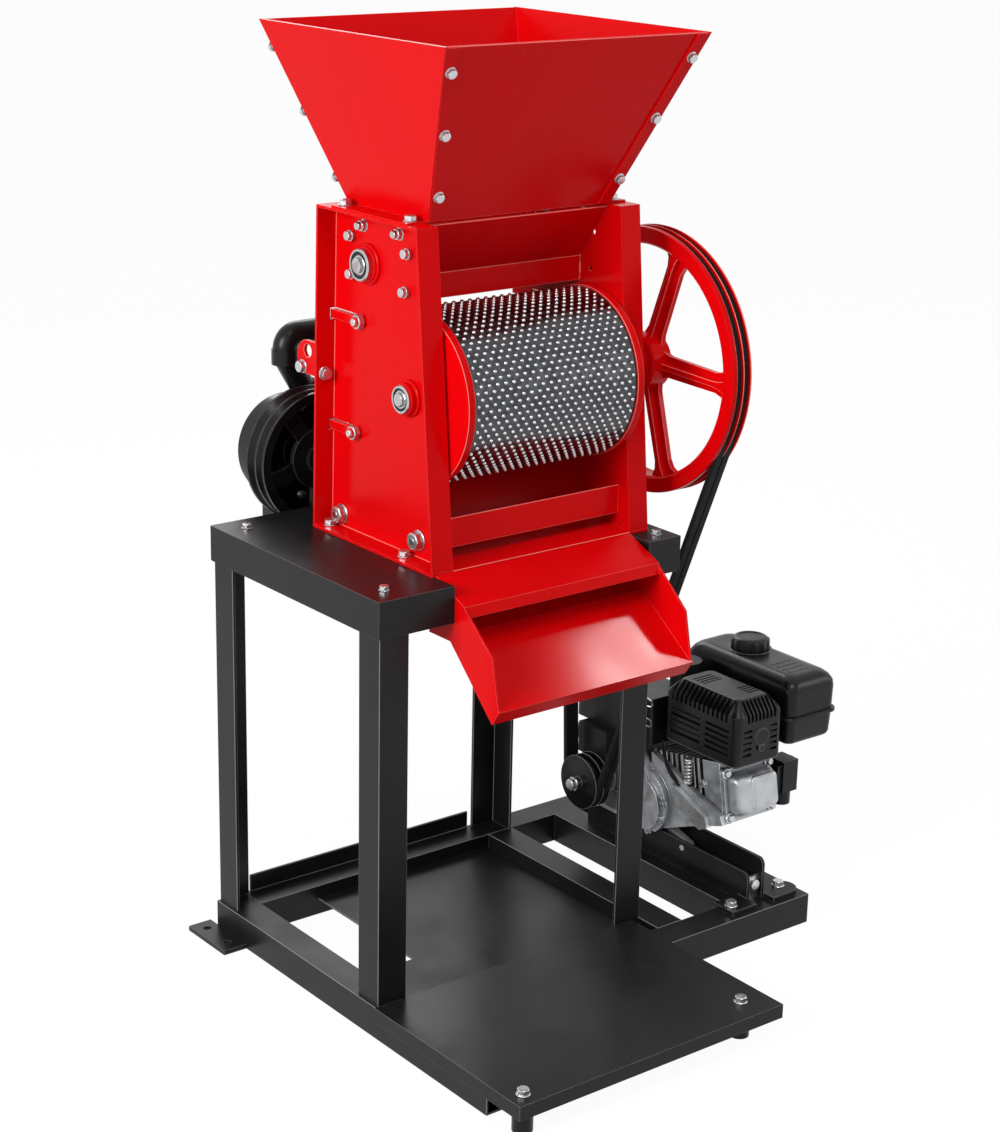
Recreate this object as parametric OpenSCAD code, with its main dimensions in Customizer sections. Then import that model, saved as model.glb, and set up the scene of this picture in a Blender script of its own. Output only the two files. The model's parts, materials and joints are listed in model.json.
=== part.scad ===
// Coffee pulper: a dimpled drum between two flanged plates under a sheet hopper,
// on a welded angle-iron stand, belt driven by a small horizontal-shaft engine.
// Lengths are laid out from the stand's datum, the front left corner of the table
// on the floor: +X runs right along the drum, +Y to the rear and +Z up.

/* [Table] */
// Width of the table top
table_w = 554; // [540:1:580]
// Depth of the table top
table_d = 440; // [430:1:470]
// Height of the table's upper face
table_h = 670; // [640:1:720]
// Height of the folded table skirt
skirt_h = 55; // [45:1:65]
// Thickness of the table sheet
table_t = 4; // [3:0.5:5]
// Flange width of the leg angle iron
leg_w = 50; // [40:1:55]
// Thickness of the leg angle iron
leg_t = 5; // [4:0.5:7]

/* [Base frame] */
// Side of the square base tube
tube_s = 50; // [45:1:55]
// Wall of the square base tube
tube_t = 3; // [2:0.5:4]
// Reach of the left base tube in front of the table
base_reach = 260; // [220:1:280]
// Front face of the front cross tube, in front of the table
cross_reach = 92; // [86:1:98]
// Reach of the engine frame past the table's right side
engine_frame_w = 230; // [225:1:250]
// Height of the floor pan's underside
pan_z = 25; // [15:1:30]
// Thickness of the floor pan
pan_t = 3; // [2:0.5:4]
// Width of the notch in the floor pan
pan_notch_w = 109; // [80:1:130]
// Depth of the notch in the floor pan
pan_notch_d = 258; // [200:1:280]
// Height of the strip that stands on the rear tube
strip_h = 28; // [15:1:40]
// Length of the anchor plate
anchor_l = 106; // [95:1:125]
// Width of the anchor plate
anchor_w = 40; // [34:1:50]
// Thickness of the anchor plate
anchor_t = 8; // [6:0.5:12]
// Radius of the anchor holes
anchor_hole_r = 6.5; // [5:0.5:8]
// Distance between the two anchor holes
anchor_pitch = 60; // [50:1:70]

/* [Platform] */
// Width of the operator's platform
platform_w = 490; // [470:1:520]
// Depth of the operator's platform
platform_d = 339; // [320:1:360]
// Thickness of the platform plate
platform_t = 4; // [3:0.5:6]
// Depth of the platform's folded front edge
platform_lip = 22; // [12:1:28]
// Radius of the steel spacers under the platform
spacer_r = 15; // [12:1:18]

/* [Head] */
// Head's left face from the table's right side
head_in = 396; // [390:1:400]
// Clear width between the two webs
head_w = 330; // [320:1:336]
// Thickness of the web plates
web_t = 4; // [3:0.5:5]
// Width of the flanges round the webs
flange_w = 33; // [28:1:34]
// Height of the head above the table
head_h = 488; // [478:1:500]
// Front edge of the web at the table
web_front_low = 47; // [44:1:50]
// Front edge of the web at its top
web_front_top = 93; // [85:1:98]
// Rear edge of the web at the table
web_back_low = 350; // [340:1:356]
// Rear edge of the web at its top
web_back_top = 338; // [330:1:344]
// Radius of the four tie rods
tie_r = 6; // [5:0.5:7]

/* [Hopper] */
// Height of the hopper
hopper_h = 252; // [220:1:300]
// Depth of the hopper's lower mouth
hopper_low_d = 182; // [170:1:190]
// Overhang of the rim past the lower mouth, left and right
hopper_side_out = 69; // [50:1:80]
// Overhang of the rim past the lower mouth, front and rear
hopper_front_out = 126; // [100:1:140]
// Thickness of the hopper sheet
hopper_t = 3; // [2:0.5:4]
// Width of the bolted corner strips
strip_w = 20; // [16:1:24]

/* [Drum] */
// Drum axis from the table's front
drum_y = 150; // [146:1:154]
// Height of the drum axis above the table
drum_rise = 235; // [230:1:240]
// Outer radius of the drum sleeve
drum_r = 126; // [120:0.5:128]
// Thickness of the drum sleeve
sleeve_t = 3; // [2:0.5:4]
// Radius of the drum shaft
shaft_r = 15; // [12:0.5:16]
// Thickness of the drum's end discs
disc_t = 4; // [3:0.5:4.5]
// Running gap between an end disc and its web
disc_gap = 4; // [3:0.5:5]
// Clearance between the drum and the breast
breast_gap = 10; // [8:0.5:12]
// Thickness of the breast plate
breast_t = 6; // [4:0.5:7]
// Radius of the breast's two cross rods
breast_rod_r = 8; // [6:0.5:9]
// Travel of the breast in its slots
breast_travel = 15; // [10:1:18]

/* [Feed roller] */
// Feed roller axis behind the drum axis
feed_dy = 103; // [101:1:104]
// Feed roller axis above the drum axis
feed_dz = 176; // [172:1:180]
// Outer radius of the feed roller
feed_r = 38; // [30:1:42]
// Radius of the feed shaft
feed_shaft_r = 11; // [10:0.5:12]
// Radius of the drum's sprocket
drum_sprocket_r = 30; // [26:1:34]
// Radius of the feed roller's sprocket
feed_sprocket_r = 42; // [36:1:46]

/* [Wheel and belts] */
// Near face of the wheel's rim past the table's right side
wheel_out = 40; // [36:1:44]
// Outer radius of the wheel
wheel_r = 205; // [190:1:215]
// Width of the wheel's rim
rim_w = 38; // [38:1:42]
// Radial depth of the wheel's rim
rim_d = 26; // [22:1:32]
// Number of spokes
spokes = 5; // [4:1:7]
// Width of a spoke
spoke_w = 30; // [22:1:36]
// Radius of the wheel's hub
hub_r = 30; // [26:1:36]
// Width of one belt
belt_w = 12; // [10:0.5:12.5]
// Thickness of one belt
belt_t = 8; // [7:0.5:9]
// Distance between the two belts
belt_pitch = 14; // [13.5:0.5:15]
// Outer radius of the engine pulley
pulley_r = 46; // [40:1:52]

/* [Chute] */
// How far the chute reaches to the left of the head
chute_out = 28; // [22:1:34]
// Width of the chute
chute_w = 362; // [356:1:364]
// Reach of the chute's lip in front of the table
chute_reach = 101; // [85:1:115]
// Depth of the notch that the chute passes through
notch_d = 60; // [57:1:60]
// Thickness of the chute sheet
chute_t = 3; // [2:0.5:4]

/* [Engine] */
// Crankshaft axis from the table's front
crank_y = 272; // [266:1:278]
// Height of the crankshaft above the floor
crank_z = 163; // [160:1:168]
// Crankcase side face past the table's right side
case_out = 122; // [120:1:126]
// Length of the crankcase along the crankshaft
case_w = 124; // [116:1:130]
// Radius of the crankcase
case_r = 84; // [80:1:88]
// Height of the engine rails above their frame
rail_h = 50; // [46:1:52]
// Tilt of the cylinder above the horizontal
cyl_tilt = 10; // [8:1:12]
// Radius of the crankshaft
crank_r = 10; // [8:0.5:11]

/* [Water pump] */
// Pump's axis from the head's left face
pump_in = 60; // [52:1:68]
// Height of the pump axis above the table
pump_rise = 65; // [60:1:75]
// Outer radius of the pump's pulley
pump_pulley_r = 107; // [95:1:109]
// Width of the pump's pulley
pump_pulley_w = 52; // [50:1:54]
// Bore radius of the outlet elbow
elbow_bore_r = 17; // [15:0.5:18]
// Wall of the outlet elbow
elbow_wall = 3; // [2.5:0.5:3.5]

/* [Hidden] */
$fn = 64;

// Colours of the finishes
red = "#d00d12";
black = "#202124";
zinc = "#c8cacd";
steel = "#9a9c9f";
alloy = "#b9bcbe";
rubber = "#1a1a1b";

// Clearances
fit = 0.05;
seat = 0.3;
loose = 0.5;
hole_play = 0.4;

// Stand
right_in = table_w - tube_s;
rear_in = table_d - tube_s;
cross_back = tube_s - cross_reach;
frame_right = table_w + engine_frame_w;
under_top = table_h - table_t;
platform_x = -6;
platform_back = -1;
platform_front = platform_back - platform_d;
platform_top = tube_s + platform_t;
platform_bolt_in = 25;
anchor_back = 21;
bolt_r = 5;

// Head
head_z = table_h;
head_top = table_h + head_h;
head_x = table_w - head_in;
left_in = head_x + web_t;
right_face = left_in + head_w;
right_out = right_face + web_t;
drum_z = table_h + drum_rise;
feed_y = drum_y + feed_dy;
feed_z = drum_z + feed_dz;
bearing_r = 21;
feed_bearing_r = 24;
bearing_out = 18;
bearing_seat_t = 5;
stub_r = 10;
disc_band = 8;
function web_back(z) = web_back_low + (web_back_top - web_back_low) * (z - head_z) / head_h;
disc_x = left_in + disc_gap;
disc_r = drum_r + 3;
disc_end = right_face - disc_gap;
breast_r = drum_r + breast_gap;
upper_rod = [drum_y + 119, drum_z + 90];
lower_rod = [drum_y + 130, drum_z - 78];
slot_h = 2 * (breast_rod_r + loose);
tie_low_z = table_h + 22;
tie_high_z = table_h + 465;
tie_places = [
    [web_back_low - 30, tie_low_z], [web_front_low + 78, tie_low_z + 8],
    [web_back_top - 73, tie_high_z], [web_front_top + 84, tie_high_z + 1]
];
small_bolts = [
    [web_back_top - 47, head_top - 41], [web_front_top + 59, head_top - 46],
    [web_back_top - 50, head_top - 96], [web_front_top + 64, head_top - 101]
];
hold_down_y = [web_back_low - 18, web_front_low + 94];
hold_down_x = [head_x - 14, right_out + 14];
apron_y = web_front_low + 28;
apron_low = 28;
apron_high = 72;
cross_bar_y = drum_y + 33;
cross_bar_low = drum_z + drum_r + 5;
cross_bar_h = 40;

// Hopper
hopper_x = left_in + 3;
hopper_w = head_w - 6;
hopper_y = web_front_top + 29;
hopper_z = head_top + hopper_t;
hopper_slant = norm([hopper_h, hopper_front_out]);
hopper_tilt = atan(hopper_front_out / hopper_h);
side_slant = norm([hopper_h, hopper_side_out]);
side_tilt = atan(hopper_side_out / hopper_h);
hopper_bolt_at = [0.16, 0.52, 0.87];

// Wheel and belts
wheel_x = table_w + wheel_out;
belt_x = wheel_x + 9;
hub_x = wheel_x - 35;
wheel_belt_drop = 5;
pulley_belt_drop = 3;
belt_out_r = wheel_r - wheel_belt_drop;
pulley_belt_r = pulley_r - pulley_belt_drop;
belt_far_x = belt_x + belt_pitch;
shaft_left = head_x - bearing_out - 4;
shaft_right = wheel_x + rim_w + 12;
sprocket_x = right_out + bearing_out + 3;
sprocket_w = 7;
feed_shaft_left = head_x - bearing_out - 4;

// Chute
chute_x = head_x - chute_out;
chute_right = chute_x + chute_w;
chute_lip_z = table_h - 158;
chute_back_z = table_h - 80;
hood_back = web_front_low - 1;
hood_lip = [-25, table_h - 42];

// Engine
case_x = table_w + case_out;
case_right = case_x + case_w;
seat_z = tube_s + rail_h;
case_front = crank_y - case_r;
case_back = crank_y + case_r;
rail_front = -58;
rail_t = 5;
rail_1_x = case_x + 2;
rail_2_x = case_x + 34;
rail_2_rise = 18;
head_w_x = 104;
head_x0 = case_x + 12;
cover_t = 16;
pulley_x = belt_x - 3.5;
pulley_w = belt_pitch + belt_w + 7;
head_reach = 254;
head_half = 52;
head_corner = [
    crank_y - head_reach * cos(cyl_tilt) + head_half * sin(cyl_tilt),
    crank_z + head_reach * sin(cyl_tilt) + head_half * cos(cyl_tilt) + 0.1
];
muffler_x = case_x - 7;
muffler_y = -25;
muffler_z = seat_z + 168;
tank_x = case_right - 16;
tank_y = -25;
tank_w = 106;
tank_l = 250;
tank_z = seat_z + 180;
tank_h = 112;
cleaner_z = crank_z + case_r + 3;
lever_t = 4;
control_x = [case_right - 34, case_right - 6];
throttle_at = [crank_y, crank_z + case_r + 14];
choke_at = [crank_y - 255, seat_z + 132];
recoil_z = crank_z + 14;
recoil_w = 84;
recoil_face_r = 78;
switch_y = crank_y - 108;
switch_at = [case_right + 28, recoil_z + 56];
handle_z = recoil_z + recoil_face_r + seat;
cap_x = tank_x + 60;
cap_y = tank_y + 158;

// Pump
pump_z = table_h + pump_rise;
pump_pulley_y = table_d + 25;
pump_case_y = pump_pulley_y + pump_pulley_w + 6;
pump_case_w = 52;
pump_case_r = 84;
pump_shaft_r = 9;
shelf_z = pump_z - pump_pulley_r - 26;
shelf_t = 6;
elbow_r = elbow_bore_r + elbow_wall;
pump_x = head_x + pump_in;
elbow_x = pump_x + 11;
elbow_y = pump_case_y + pump_case_w / 2;
elbow_z = pump_z + 182;
elbow_bend = 22;
elbow_run = 120;
elbow_lean = 31;
riser_l = 60;
elbow_collar = 24;
riser_top = [elbow_x - elbow_bend, elbow_z - elbow_bend - elbow_collar / 2];

// Box between two corners given as ranges
module block(x, y, z)
    translate([x[0], y[0], z[0]]) cube([x[1] - x[0], y[1] - y[0], z[1] - z[0]]);

// Round bars along the three axes
module bar_x(x, y, z, r) translate([x[0], y, z]) rotate([0, 90, 0]) cylinder(r = r, h = x[1] - x[0]);
module bar_y(y, x, z, r) translate([x, y[0], z]) rotate([-90, 0, 0]) cylinder(r = r, h = y[1] - y[0]);
module bar_z(z, x, y, r) translate([x, y, z[0]]) cylinder(r = r, h = z[1] - z[0]);

// An outline of (y, z) points drawn out along X
module profile_x(x, points)
    translate([x[0], 0, 0]) rotate([90, 0, 90]) linear_extrude(x[1] - x[0]) polygon(points);

// Square tubes with open ends
module tube_x(x, y, z) difference() {
    block(x, [y, y + tube_s], [z, z + tube_s]);
    block([x[0] - 1, x[1] + 1], [y + tube_t, y + tube_s - tube_t], [z + tube_t, z + tube_s - tube_t]);
}
module tube_y(y, x, z) difference() {
    block([x, x + tube_s], y, [z, z + tube_s]);
    block([x + tube_t, x + tube_s - tube_t], [y[0] - 1, y[1] + 1], [z + tube_t, z + tube_s - tube_t]);
}

// Rounded rectangle with its corner at the origin
module round_plate(w, d, r, h) {
    translate([r, 0, 0]) cube([w - 2 * r, d, h]);
    translate([0, r, 0]) cube([w, d - 2 * r, h]);
    for (x = [r, w - r], y = [r, d - r]) translate([x, y, 0]) cylinder(r = r, h = h);
}

// Hex bolt whose head stands up from z = 0, with a washer and a shank below
module bolt(r, shank) {
    cylinder(r = 2.1 * r, h = 0.35 * r);
    cylinder(r = 1.85 * r, h = 1.7 * r, $fn = 6);
    translate([0, 0, -shank]) cylinder(r = r, h = shank + r);
}

// Hex nut with washer on a stud end, standing up from z = 0
module nut(r, end) {
    difference() {
        union() {
            cylinder(r = 2.1 * r, h = 0.35 * r);
            cylinder(r = 1.85 * r, h = 1.9 * r, $fn = 6);
        }
        translate([0, 0, -1]) cylinder(r = r + fit, h = 2.9 * r);
    }
}

// Turns +Z to face left, right, front or rear
module to_left(x, p) translate([x, p[0], p[1]]) rotate([0, -90, 0]) children();
module to_right(x, p) translate([x, p[0], p[1]]) rotate([0, 90, 0]) children();
module to_front(y, p) translate([p[0], y, p[1]]) rotate([90, 0, 0]) children();
module to_rear(y, p) translate([p[0], y, p[1]]) rotate([-90, 0, 0]) children();

// Sheet of thickness t along a bent line of (y, z) points, to the left of its direction
function unit(v) = v / norm(v);
function leftward(v) = [-v[1], v[0]];
function mitred(a, b, c, t) =
    let (m = leftward(unit(b - a)), n = leftward(unit(c - b))) b + (m + n) * t / (1 + m * n);
function far_side(p, t) = let (e = len(p) - 1) [
    for (i = [e:-1:0])
        i == e ? p[e] + t * leftward(unit(p[e] - p[e - 1]))
        : i == 0 ? p[0] + t * leftward(unit(p[1] - p[0]))
        : mitred(p[i - 1], p[i], p[i + 1], t)
];
module sheet_x(x, points, t) profile_x(x, concat(points, far_side(points, t)));

// Loop of a belt or chain round two circles: an open band of thickness t
function arc(c, r, from, to, n) = [for (i = [0:n]) let (a = from + (to - from) * i / n) c + r * [cos(a), sin(a)]];
function loop_points(p, q, a, b) =
    let (d = q - p, base = atan2(d[1], d[0]), k = acos((a - b) / norm(d)))
    concat(arc(p, a, base + k, base + 360 - k, 48), arc(q, b, base - k, base + k, 24));
module loop_band(x, p, q, a, b, t)
    translate([x[0], 0, 0]) rotate([90, 0, 90]) linear_extrude(x[1] - x[0]) difference() {
        polygon(loop_points(p, q, a, b));
        polygon(loop_points(p, q, a - t, b - t));
    }

// Grooved rim outline for rotate_extrude: radius against length along the axle
function grooved(r_in, r_out, w, first, pitch, gap, deep) = [
    [r_in, 0], [r_out, 0],
    [r_out, first - gap], [r_out - deep, first - gap],
    [r_out - deep, first + belt_w + gap], [r_out, first + belt_w + gap],
    [r_out, first + pitch - gap], [r_out - deep, first + pitch - gap],
    [r_out - deep, first + pitch + belt_w + gap], [r_out, first + pitch + belt_w + gap],
    [r_out, w], [r_in, w]
];
module ring_x(x, y, z, points) translate([x, y, z]) rotate([0, 90, 0]) rotate_extrude($fn = 96) polygon(points);

// Whole-part placement: the middle of the footprint stands over the origin
span_left = min(platform_x, -anchor_w);
span_right = max(frame_right, case_right + recoil_w, tank_x + tank_w + 4);
span_front = platform_front;
span_rear = pump_case_y + pump_case_w + 4;
module on_stand()
    translate([-(span_left + span_right) / 2, -(span_front + span_rear) / 2, 0]) children();

// Table top: a folded tray, notched at the front for the chute
module table_top() color(black) on_stand() difference() {
    block([0, table_w], [0, table_d], [table_h - skirt_h, table_h]);
    block([table_t, table_w - table_t], [table_t, table_d - table_t], [table_h - skirt_h - 1, under_top]);
    block([chute_x - seat, chute_right + seat], [-1, notch_d], [table_h - skirt_h - 1, table_h + 1]);
    for (p = table_bolt_places) bar_z([under_top - 1, table_h + 1], p[0], p[1], bolt_r + hole_play);
    for (x = hold_down_x, y = hold_down_y)
        bar_z([under_top - 1, table_h + 1], x, y, bolt_r + hole_play);
}
table_bolt_places = [
    [leg_w - 12, leg_w - 8], [leg_w - 12, table_d - leg_w + 8],
    [table_w - leg_w + 12, table_d - leg_w + 8], [table_w - 26, 27]
];

// Angle-iron legs: outer corner at the origin, flanges along +X and +Y.
// The front right leg's front flange stops under the chute.
module angle_leg(low) difference() {
    block([0, leg_w], [0, leg_w], [low, under_top]);
    block([leg_t, leg_w + 1], [leg_t, leg_w + 1], [low - 1, under_top + 1]);
}
module legs() color(black) on_stand() {
    translate([table_t, table_t, 0]) angle_leg(tube_s);
    translate([table_t, table_d - table_t, 0]) mirror([0, 1, 0]) angle_leg(tube_s);
    translate([table_w - table_t, table_d - table_t, 0])
        mirror([1, 0, 0]) mirror([0, 1, 0]) angle_leg(tube_s);
    difference() {
        translate([right_in, table_t, 0]) mirror([1, 0, 0]) angle_leg(pan_z + pan_t);
        block([right_in - leg_w - 1, right_in - leg_t], [0, notch_d + 1], [chute_back_z - 14, table_h]);
    }
}

module base_left() color(black) on_stand() tube_y([-base_reach, table_d], 0, 0);
module base_right() color(black) on_stand() tube_y([cross_back, rear_in], right_in, 0);
module base_rear() color(black) on_stand() {
    tube_x([tube_s, frame_right], rear_in, 0);
    block([tube_s + 10, table_w - leg_w - 10], [table_d - 4, table_d], [tube_s, tube_s + strip_h]);
}
module base_front() color(black) on_stand() tube_x([tube_s, frame_right], -cross_reach, 0);
module floor_pan() color(black) on_stand() difference() {
    block([tube_s, right_in], [cross_back, rear_in], [pan_z, pan_z + pan_t]);
    block([tube_s - 1, tube_s + pan_notch_w], [rear_in - pan_notch_d, rear_in + 1], [pan_z - 1, pan_z + pan_t + 1]);
}

// Platform: a plate folded down at its front and left, on two steel spacers
platform_bolts_at = [
    [platform_x + platform_bolt_in, platform_front + platform_bolt_in],
    [platform_x + platform_w - platform_bolt_in - 20, platform_front + platform_bolt_in + 18]
];
module platform() color(black) on_stand() {
    difference() {
        union() {
            block([platform_x, platform_x + platform_w], [platform_front, platform_back], [tube_s, platform_top]);
            block([platform_x, platform_x + platform_w], [platform_front, platform_front + platform_t],
                [platform_top - platform_lip, platform_top]);
            block([platform_x, platform_x + platform_t], [platform_front, platform_back],
                [platform_top - platform_lip, platform_top]);
        }
        for (p = platform_bolts_at) bar_z([tube_s - 1, platform_top + 1], p[0], p[1], bolt_r + hole_play);
    }
    for (p = platform_bolts_at) difference() {
        bar_z([0, tube_s], p[0], p[1], spacer_r);
        bar_z([-1, tube_s + 1], p[0], p[1], bolt_r + hole_play);
    }
}

module stand_bolts() color(zinc) on_stand() {
    for (p = platform_bolts_at) translate([p[0], p[1], platform_top]) bolt(bolt_r, 40);
    for (p = table_bolt_places) translate([p[0], p[1], table_h]) bolt(bolt_r, 3.8);
    for (p = foot_bolts_at) translate([p[0], p[1], tube_s + foot_t]) bolt(bolt_r, foot_t - 0.2);
}

module anchor_plate() color(black) on_stand() difference() {
    block([-anchor_w, 0], [table_d + anchor_back - anchor_l, table_d + anchor_back], [0, anchor_t]);
    for (s = [-1, 1])
        bar_z([-1, anchor_t + 1], -anchor_w / 2, table_d + anchor_back - anchor_l / 2 + s * anchor_pitch / 2,
            anchor_hole_r);
}

module engine_beams() color(black) on_stand() for (x = [case_x - 27, frame_right - tube_s])
    tube_y([cross_back, rear_in], x, 0);

// Engine rails: upright webs with out-turned feet on the front cross tube
foot_t = 8;
foot_y = [-cross_reach + 10, cross_back + 4];
foot_bolts_at = [[rail_1_x - 38, foot_y[0] + 20], [rail_2_x + 43, foot_y[0] + 30]];
rail_ends = [rail_front, case_back - 20];
module rail_web(x, high) {
    block([x, x + rail_t], [rail_ends[0] + 12, rail_ends[1]], [tube_s, seat_z]);
    block([x, x + rail_t], [rail_ends[0], rail_ends[0] + 13], [tube_s, tube_s + high - 12]);
    block([x, x + rail_t], [rail_ends[0] + 12, 150], [tube_s, tube_s + high]);
    bar_x([x, x + rail_t], rail_ends[0] + 12, tube_s + high - 12, 12);
}
module engine_rails() color(black) on_stand() {
    rail_web(rail_1_x, rail_h);
    rail_web(rail_2_x, rail_h + rail_2_rise);
    difference() {
        union() {
            block([rail_1_x - 52, rail_1_x], foot_y, [tube_s, tube_s + foot_t]);
            block([rail_2_x + rail_t, rail_2_x + 46], foot_y, [tube_s, tube_s + foot_t]);
            bar_z([tube_s, tube_s + foot_t], rail_2_x + 46, (foot_y[0] + foot_y[1]) / 2, (foot_y[1] - foot_y[0]) / 2);
        }
        for (p = foot_bolts_at) bar_z([tube_s - 1, tube_s + foot_t + 1], p[0], p[1], bolt_r + hole_play);
    }
}

// Tensioning screw between the rails, in a lug that stands on the front tube
tension_x = (rail_1_x + rail_t + rail_2_x) / 2;
tension_z = tube_s + 26;
module belt_tensioner() color(zinc) on_stand() {
    difference() {
        block([rail_1_x + rail_t, rail_2_x], [-50, -44], [tube_s, tension_z + 12]);
        bar_y([-51, -43], tension_x, tension_z, bolt_r + fit);
    }
    bar_y([-60, 150], tension_x, tension_z, bolt_r);
    to_front(-50, [tension_x, tension_z]) nut(bolt_r);
}

// Web with flanges on all four edges, drawn for the left side
module side_plate() {
    difference() {
        union() {
            profile_x([0, web_t], [
                [web_front_low, head_z], [web_back_low, head_z],
                [web_back_top, head_top], [web_front_top, head_top]
            ]);
            profile_x([-flange_w, web_t], [
                [web_front_low, head_z], [web_front_low + web_t, head_z],
                [web_front_top + web_t, head_top], [web_front_top, head_top]
            ]);
            profile_x([-flange_w, web_t], [
                [web_back_low - web_t, head_z], [web_back_low, head_z],
                [web_back_top, head_top], [web_back_top - web_t, head_top]
            ]);
            block([-flange_w, web_t], [web_front_low, web_back_low], [head_z, head_z + web_t]);
            block([-flange_w, web_t], [web_front_top, web_back_top], [head_top - web_t, head_top]);
        }
        bar_x([-1, web_t + 1], drum_y, drum_z, bearing_r + fit);
        bar_x([-1, web_t + 1], feed_y, feed_z, feed_bearing_r + fit);
        for (p = [upper_rod, lower_rod]) {
            bar_x([-1, web_t + 1], p[0], p[1], slot_h / 2);
            block([-slot_bar_out - 3, web_t + 1], [p[0], web_back_low + 1], [p[1] - slot_h / 2, p[1] + slot_h / 2]);
        }
        for (p = tie_places) bar_x([-1, web_t + 1], p[0], p[1], tie_r + hole_play);
        for (p = small_bolts) bar_x([-1, web_t + 1], p[0], p[1], 4 + hole_play);
        bar_y([web_back_low - 20, web_back_low + 1], lug_bolt_x - head_x, lug_bolt_z, bolt_r + hole_play);
        for (y = hold_down_y) bar_z([head_z - 1, head_z + web_t + 1], -14, y, bolt_r + hole_play);
        for (y = top_bolt_y) bar_z([head_top - web_t - 1, head_top + 1], -14, y, bolt_r + hole_play);
    }
}
top_bolt_y = [hopper_y + 12, hopper_y + hopper_low_d - 12];
lug_bolt_x = head_x - 18;
lug_bolt_z = drum_z + 1;
module side_plate_left() color(red) on_stand() translate([head_x, 0, 0]) side_plate();
module side_plate_right() color(red) on_stand() translate([right_out, 0, 0]) mirror([1, 0, 0]) side_plate();

module tie_rods() color(zinc) on_stand() for (p = tie_places) {
    bar_x([head_x - 16, right_out + 16], p[0], p[1], tie_r);
    to_left(head_x, p) nut(tie_r);
    to_right(right_out, p) nut(tie_r);
    to_right(left_in, p) nut(tie_r);
    to_left(right_face, p) nut(tie_r);
}

module head_bolts() color(zinc) on_stand() {
    for (p = small_bolts) to_left(head_x, p) bolt(4, web_t - 0.2);
    for (x = hold_down_x, y = hold_down_y) translate([x, y, head_z + web_t]) bolt(bolt_r, web_t + table_t + 12);
    for (x = hold_down_x, y = top_bolt_y) translate([x, y, hopper_z]) bolt(bolt_r, web_t + hopper_t + 3);
    to_left(head_x - 12, [web_back_top + 69, drum_z - 2]) bolt(bolt_r, 5.8);
    to_front(web_back(lug_bolt_z) - web_t - 0.2, [lug_bolt_x, lug_bolt_z]) bolt(bolt_r, web_t - 0.2);
}

// Sloping front guide of the throat with the flat bar that holds its lower edge
module throat_front() color(red) on_stand() {
    sheet_x([left_in, right_face], [
        [cross_bar_y, cross_bar_low + cross_bar_h - 2], [web_front_top + 31, head_top - 2]
    ], 3);
    block([left_in, right_face], [cross_bar_y - 3, cross_bar_y + 3], [cross_bar_low, cross_bar_low + cross_bar_h]);
}
module throat_back() color(red) on_stand() sheet_x([left_in, right_face], [
    [hopper_y + hopper_low_d + 3, head_top - 2], [hopper_y + hopper_low_d + 3, upper_rod[1] + 48],
    [upper_rod[0] + 22, upper_rod[1] + 20]
], 3);
module apron_bar() color(red) on_stand() {
    block([left_in, right_face], [apron_y, apron_y + 4], [head_z + apron_low, head_z + apron_high]);
    block([left_in, right_face], [apron_y, apron_y + 8], [head_z + apron_low, head_z + apron_low + 4]);
}
module bean_floor() color(red) on_stand() sheet_x([left_in, right_face], [
    [hood_back + 1, head_z + 1], [drum_y - 10, head_z + 14], [drum_y + 40, head_z + 100], [drum_y + 78, head_z + 114]
], 3);

// Discharge chute: two sides, floor with a folded lip and a rising back, and a hood
hood_line = [hood_lip, [-20, table_h - 28], [hood_back, table_h]];
floor_line = [
    [14 - chute_reach, chute_lip_z - 20], [-chute_reach, chute_lip_z], [10, chute_back_z],
    [notch_d, chute_back_z], [notch_d, table_h]
];
hood_mid = far_side(hood_line, chute_t / 2);
floor_mid = far_side(floor_line, chute_t / 2);
chute_side = [
    [notch_d, table_h], [hood_back, table_h], hood_mid[0], hood_mid[1], [-87, table_h - 82],
    floor_mid[3], floor_mid[4], [10, chute_back_z - 5], [notch_d, chute_back_z - 5]
];
module chute() color(red) on_stand() {
    for (x = [chute_x, chute_right - chute_t]) profile_x([x, x + chute_t], chute_side);
    sheet_x([chute_x, chute_right], floor_line, chute_t);
    sheet_x([chute_x, chute_right], hood_line, chute_t);
}

// Hopper walls: flat sheets laid in their tilted planes
module front_plane() translate([hopper_x + hopper_w / 2, hopper_y, hopper_z])
    rotate([hopper_tilt, 0, 0]) rotate([90, 0, 0]) children();
module back_plane() translate([0, 2 * hopper_y + hopper_low_d, 0]) mirror([0, 1, 0]) front_plane() children();
module left_plane() translate([hopper_x, hopper_y, hopper_z])
    rotate([0, -side_tilt, 0]) rotate([90, 0, 90]) children();
hopper_half = hopper_w / 2;
module end_wall() linear_extrude(hopper_t) polygon([
    [-hopper_half + loose, 0], [hopper_half - loose, 0],
    [hopper_half + hopper_side_out - loose, hopper_slant], [-hopper_half - hopper_side_out + loose, hopper_slant]
]);
module corner_strip() translate([0, 0, hopper_t + 0.1]) linear_extrude(hopper_t) polygon([
    [-hopper_half - 1, 2], [-hopper_half + strip_w, 2],
    [-hopper_half - hopper_side_out + strip_w, hopper_slant], [-hopper_half - hopper_side_out - 1, hopper_slant]
]);
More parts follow.
